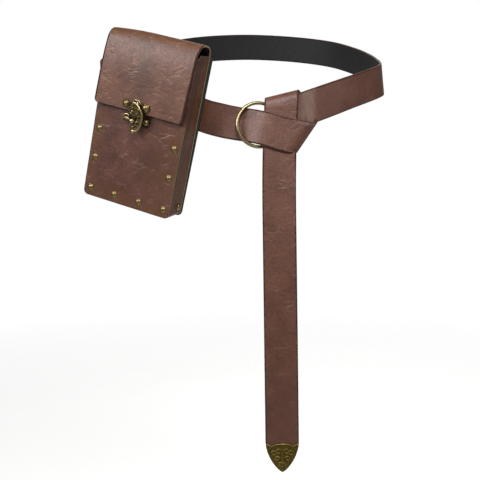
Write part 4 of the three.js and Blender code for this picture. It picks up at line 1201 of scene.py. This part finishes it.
# Ring
# Drawn brass wire, bent round and brazed shut, then polished. Its plane, radius and wire are
# measured on the frame's ring.
ring_points = points_of("ring")
from_centre = ring_points - ring_points.mean(0)
_, _, ring_turn = np.linalg.svd(from_centre)
ring_normal = ring_turn[2]
flat = from_centre - np.outer(from_centre @ ring_normal, ring_normal)
flat_distance = np.linalg.norm(flat, axis=1)
ring_radius = (flat_distance.max() + flat_distance.min()) / 2
wire_radius = (flat_distance.max() - flat_distance.min()) / 2
wire = []
for k in range(25):
    turn = 2 * math.pi * k / 24
    wire.append((ring_radius + wire_radius * math.cos(turn), wire_radius * math.sin(turn)))
ring = turned("ring_wire", wire, ring_points.mean(0), ring_normal, ring_brass, sides=160)
place(ring, "aged_brass", "ring")

# Strap tip
# A cap cast in brass and pushed over the tail's end. Its top edge is shaped like a bracket with a
# raised bead, a rim follows its sides to the point, and leaf scrolls stand up between them.
TIP_WALL = 0.7 * MM
TIP_SCALLOP = 3 * MM
TIP_RELIEF = 0.75 * MM
TIP_ROWS, TIP_AROUND = 90, 168
CUSP = 0.62
# Middle in mm from the tip's top middle, radius, and start and sweep in degrees of each scroll
TIP_SCROLLS = [
    (4.6, -9.0, 3.4, 200, -330), (9.6, -10.5, 3.0, 30, 300),
    (5.8, -17.0, 2.9, 150, -300), (3.0, -23.0, 2.0, 160, -260),
]

tip_down = centre_line[0] - centre_line[IN_TIP_STATIONS]
tip_down /= np.linalg.norm(tip_down)
tip_right = right_edge[5] - left_edge[5]
tip_right -= tip_right.dot(tip_down) * tip_down
tip_right /= np.linalg.norm(tip_right)
tip_out = np.cross(tip_right, tip_down)
if tip_out[1] > 0:
    tip_out = -tip_out
tip_axes = np.array([tip_right, tip_out, tip_down])
tip_local = (points_of("strap_tip") - centre_line[0]) @ tip_axes.T
tip_low, tip_high = tip_local.min(0), tip_local.max(0)
tip_width, TIP_DEPTH, TIP_LENGTH = tip_high - tip_low
TIP_HALF = tip_width / 2
tip_place = np.array([*(tip_low + tip_high)[:2] / 2, tip_low[2]])


def bracket(u):
    """Drop of the tip's top edge at a share of its half width: an arch between two cusps."""
    u = np.abs(u)
    arch = TIP_SCALLOP * (1 - np.sqrt(np.clip(1 - (u / CUSP) ** 2, 0, 1)) * 0.95)
    side_rise = TIP_SCALLOP * (1 - np.clip((u - CUSP) / (1 - CUSP), 0, 1) ** 0.8)
    return np.where(u < CUSP, arch, side_rise)


def relief(u, v):
    """Height of the scroll work, from 0 to 1, at places in mm from the tip's top middle."""
    strokes = [[(0, -26 + k * 0.5) for k in range(32)]]
    for way in (-1, 1):
        for x, z, r, start, sweep in TIP_SCROLLS:
            steps = np.linspace(0, 1, 40)
            angles = np.radians(start + sweep * steps)
            radii = r * (1 - 0.62 * steps)
            strokes.append([
                (way * (x + a * math.cos(t)), z + a * math.sin(t)) for a, t in zip(radii, angles)
            ])
    height = np.zeros(u.shape)
    for stroke in strokes:
        for x, z in stroke:
            height = np.maximum(height, np.exp(-((u - x) ** 2 + (v - z) ** 2) / 0.55))
    return height


shares = 1 - (1 - np.linspace(0, 1, TIP_ROWS)) ** 1.5
turns = np.linspace(0, 2 * math.pi, TIP_AROUND, endpoint=False)
half_widths = TIP_HALF * (1 - shares ** 1.7) ** 0.75
cross_x = np.sign(np.cos(turns)) * np.abs(np.cos(turns)) ** 0.55
cross_y = np.sign(np.sin(turns)) * np.abs(np.sin(turns)) ** 0.4
top_drop = bracket(cross_x)
x = half_widths[:, None] * cross_x[None, :]
down = shares[:, None] * (TIP_LENGTH - top_drop[None, :]) + top_drop[None, :]
thin = np.sqrt(np.clip(half_widths / (4 * MM), 0, 1))
y = TIP_DEPTH / 2 * cross_y[None, :] * thin[:, None]
rim = np.clip(1 - (half_widths[:, None] - np.abs(x)) / (1.6 * MM), 0, 1)
bead = np.clip(1 - (down - top_drop[None, :]) / (1.3 * MM), 0, 1)
field = relief(x / MM, -down / MM) * np.clip((half_widths[:, None] - np.abs(x)) / (2 * MM), 0, 1)
raised = np.maximum(np.maximum(np.sqrt(rim), np.sqrt(bead)) * 0.9, field) * TIP_RELIEF
front_face = np.clip(cross_y, 0, 1)[None, :] ** 0.5
y = y + (raised - 0.6 * TIP_RELIEF) * front_face
tip_grid = centre_line[0] + (np.stack([x, y, down], axis=-1) + tip_place) @ tip_axes
verts = tip_grid.reshape(-1, 3)
faces = []
for i in range(TIP_ROWS - 1):
    for j in range(TIP_AROUND):
        a, b = i * TIP_AROUND + j, i * TIP_AROUND + (j + 1) % TIP_AROUND
        faces.append((a, b, b + TIP_AROUND, a + TIP_AROUND))
mesh = bpy.data.meshes.new("strap_tip_cast")
mesh.from_pydata(verts.tolist(), [], faces)
shape = bmesh.new()
shape.from_mesh(mesh)
bmesh.ops.remove_doubles(shape, verts=shape.verts, dist=0.02 * MM)
shape.to_mesh(mesh)
shape.free()
tip = finish_piece("strap_tip_cast", mesh, tip_brass)
wall = tip.modifiers.new("wall", "SOLIDIFY")
wall.thickness = TIP_WALL
wall.offset = -1
place(tip, "aged_brass", "strap_tip")
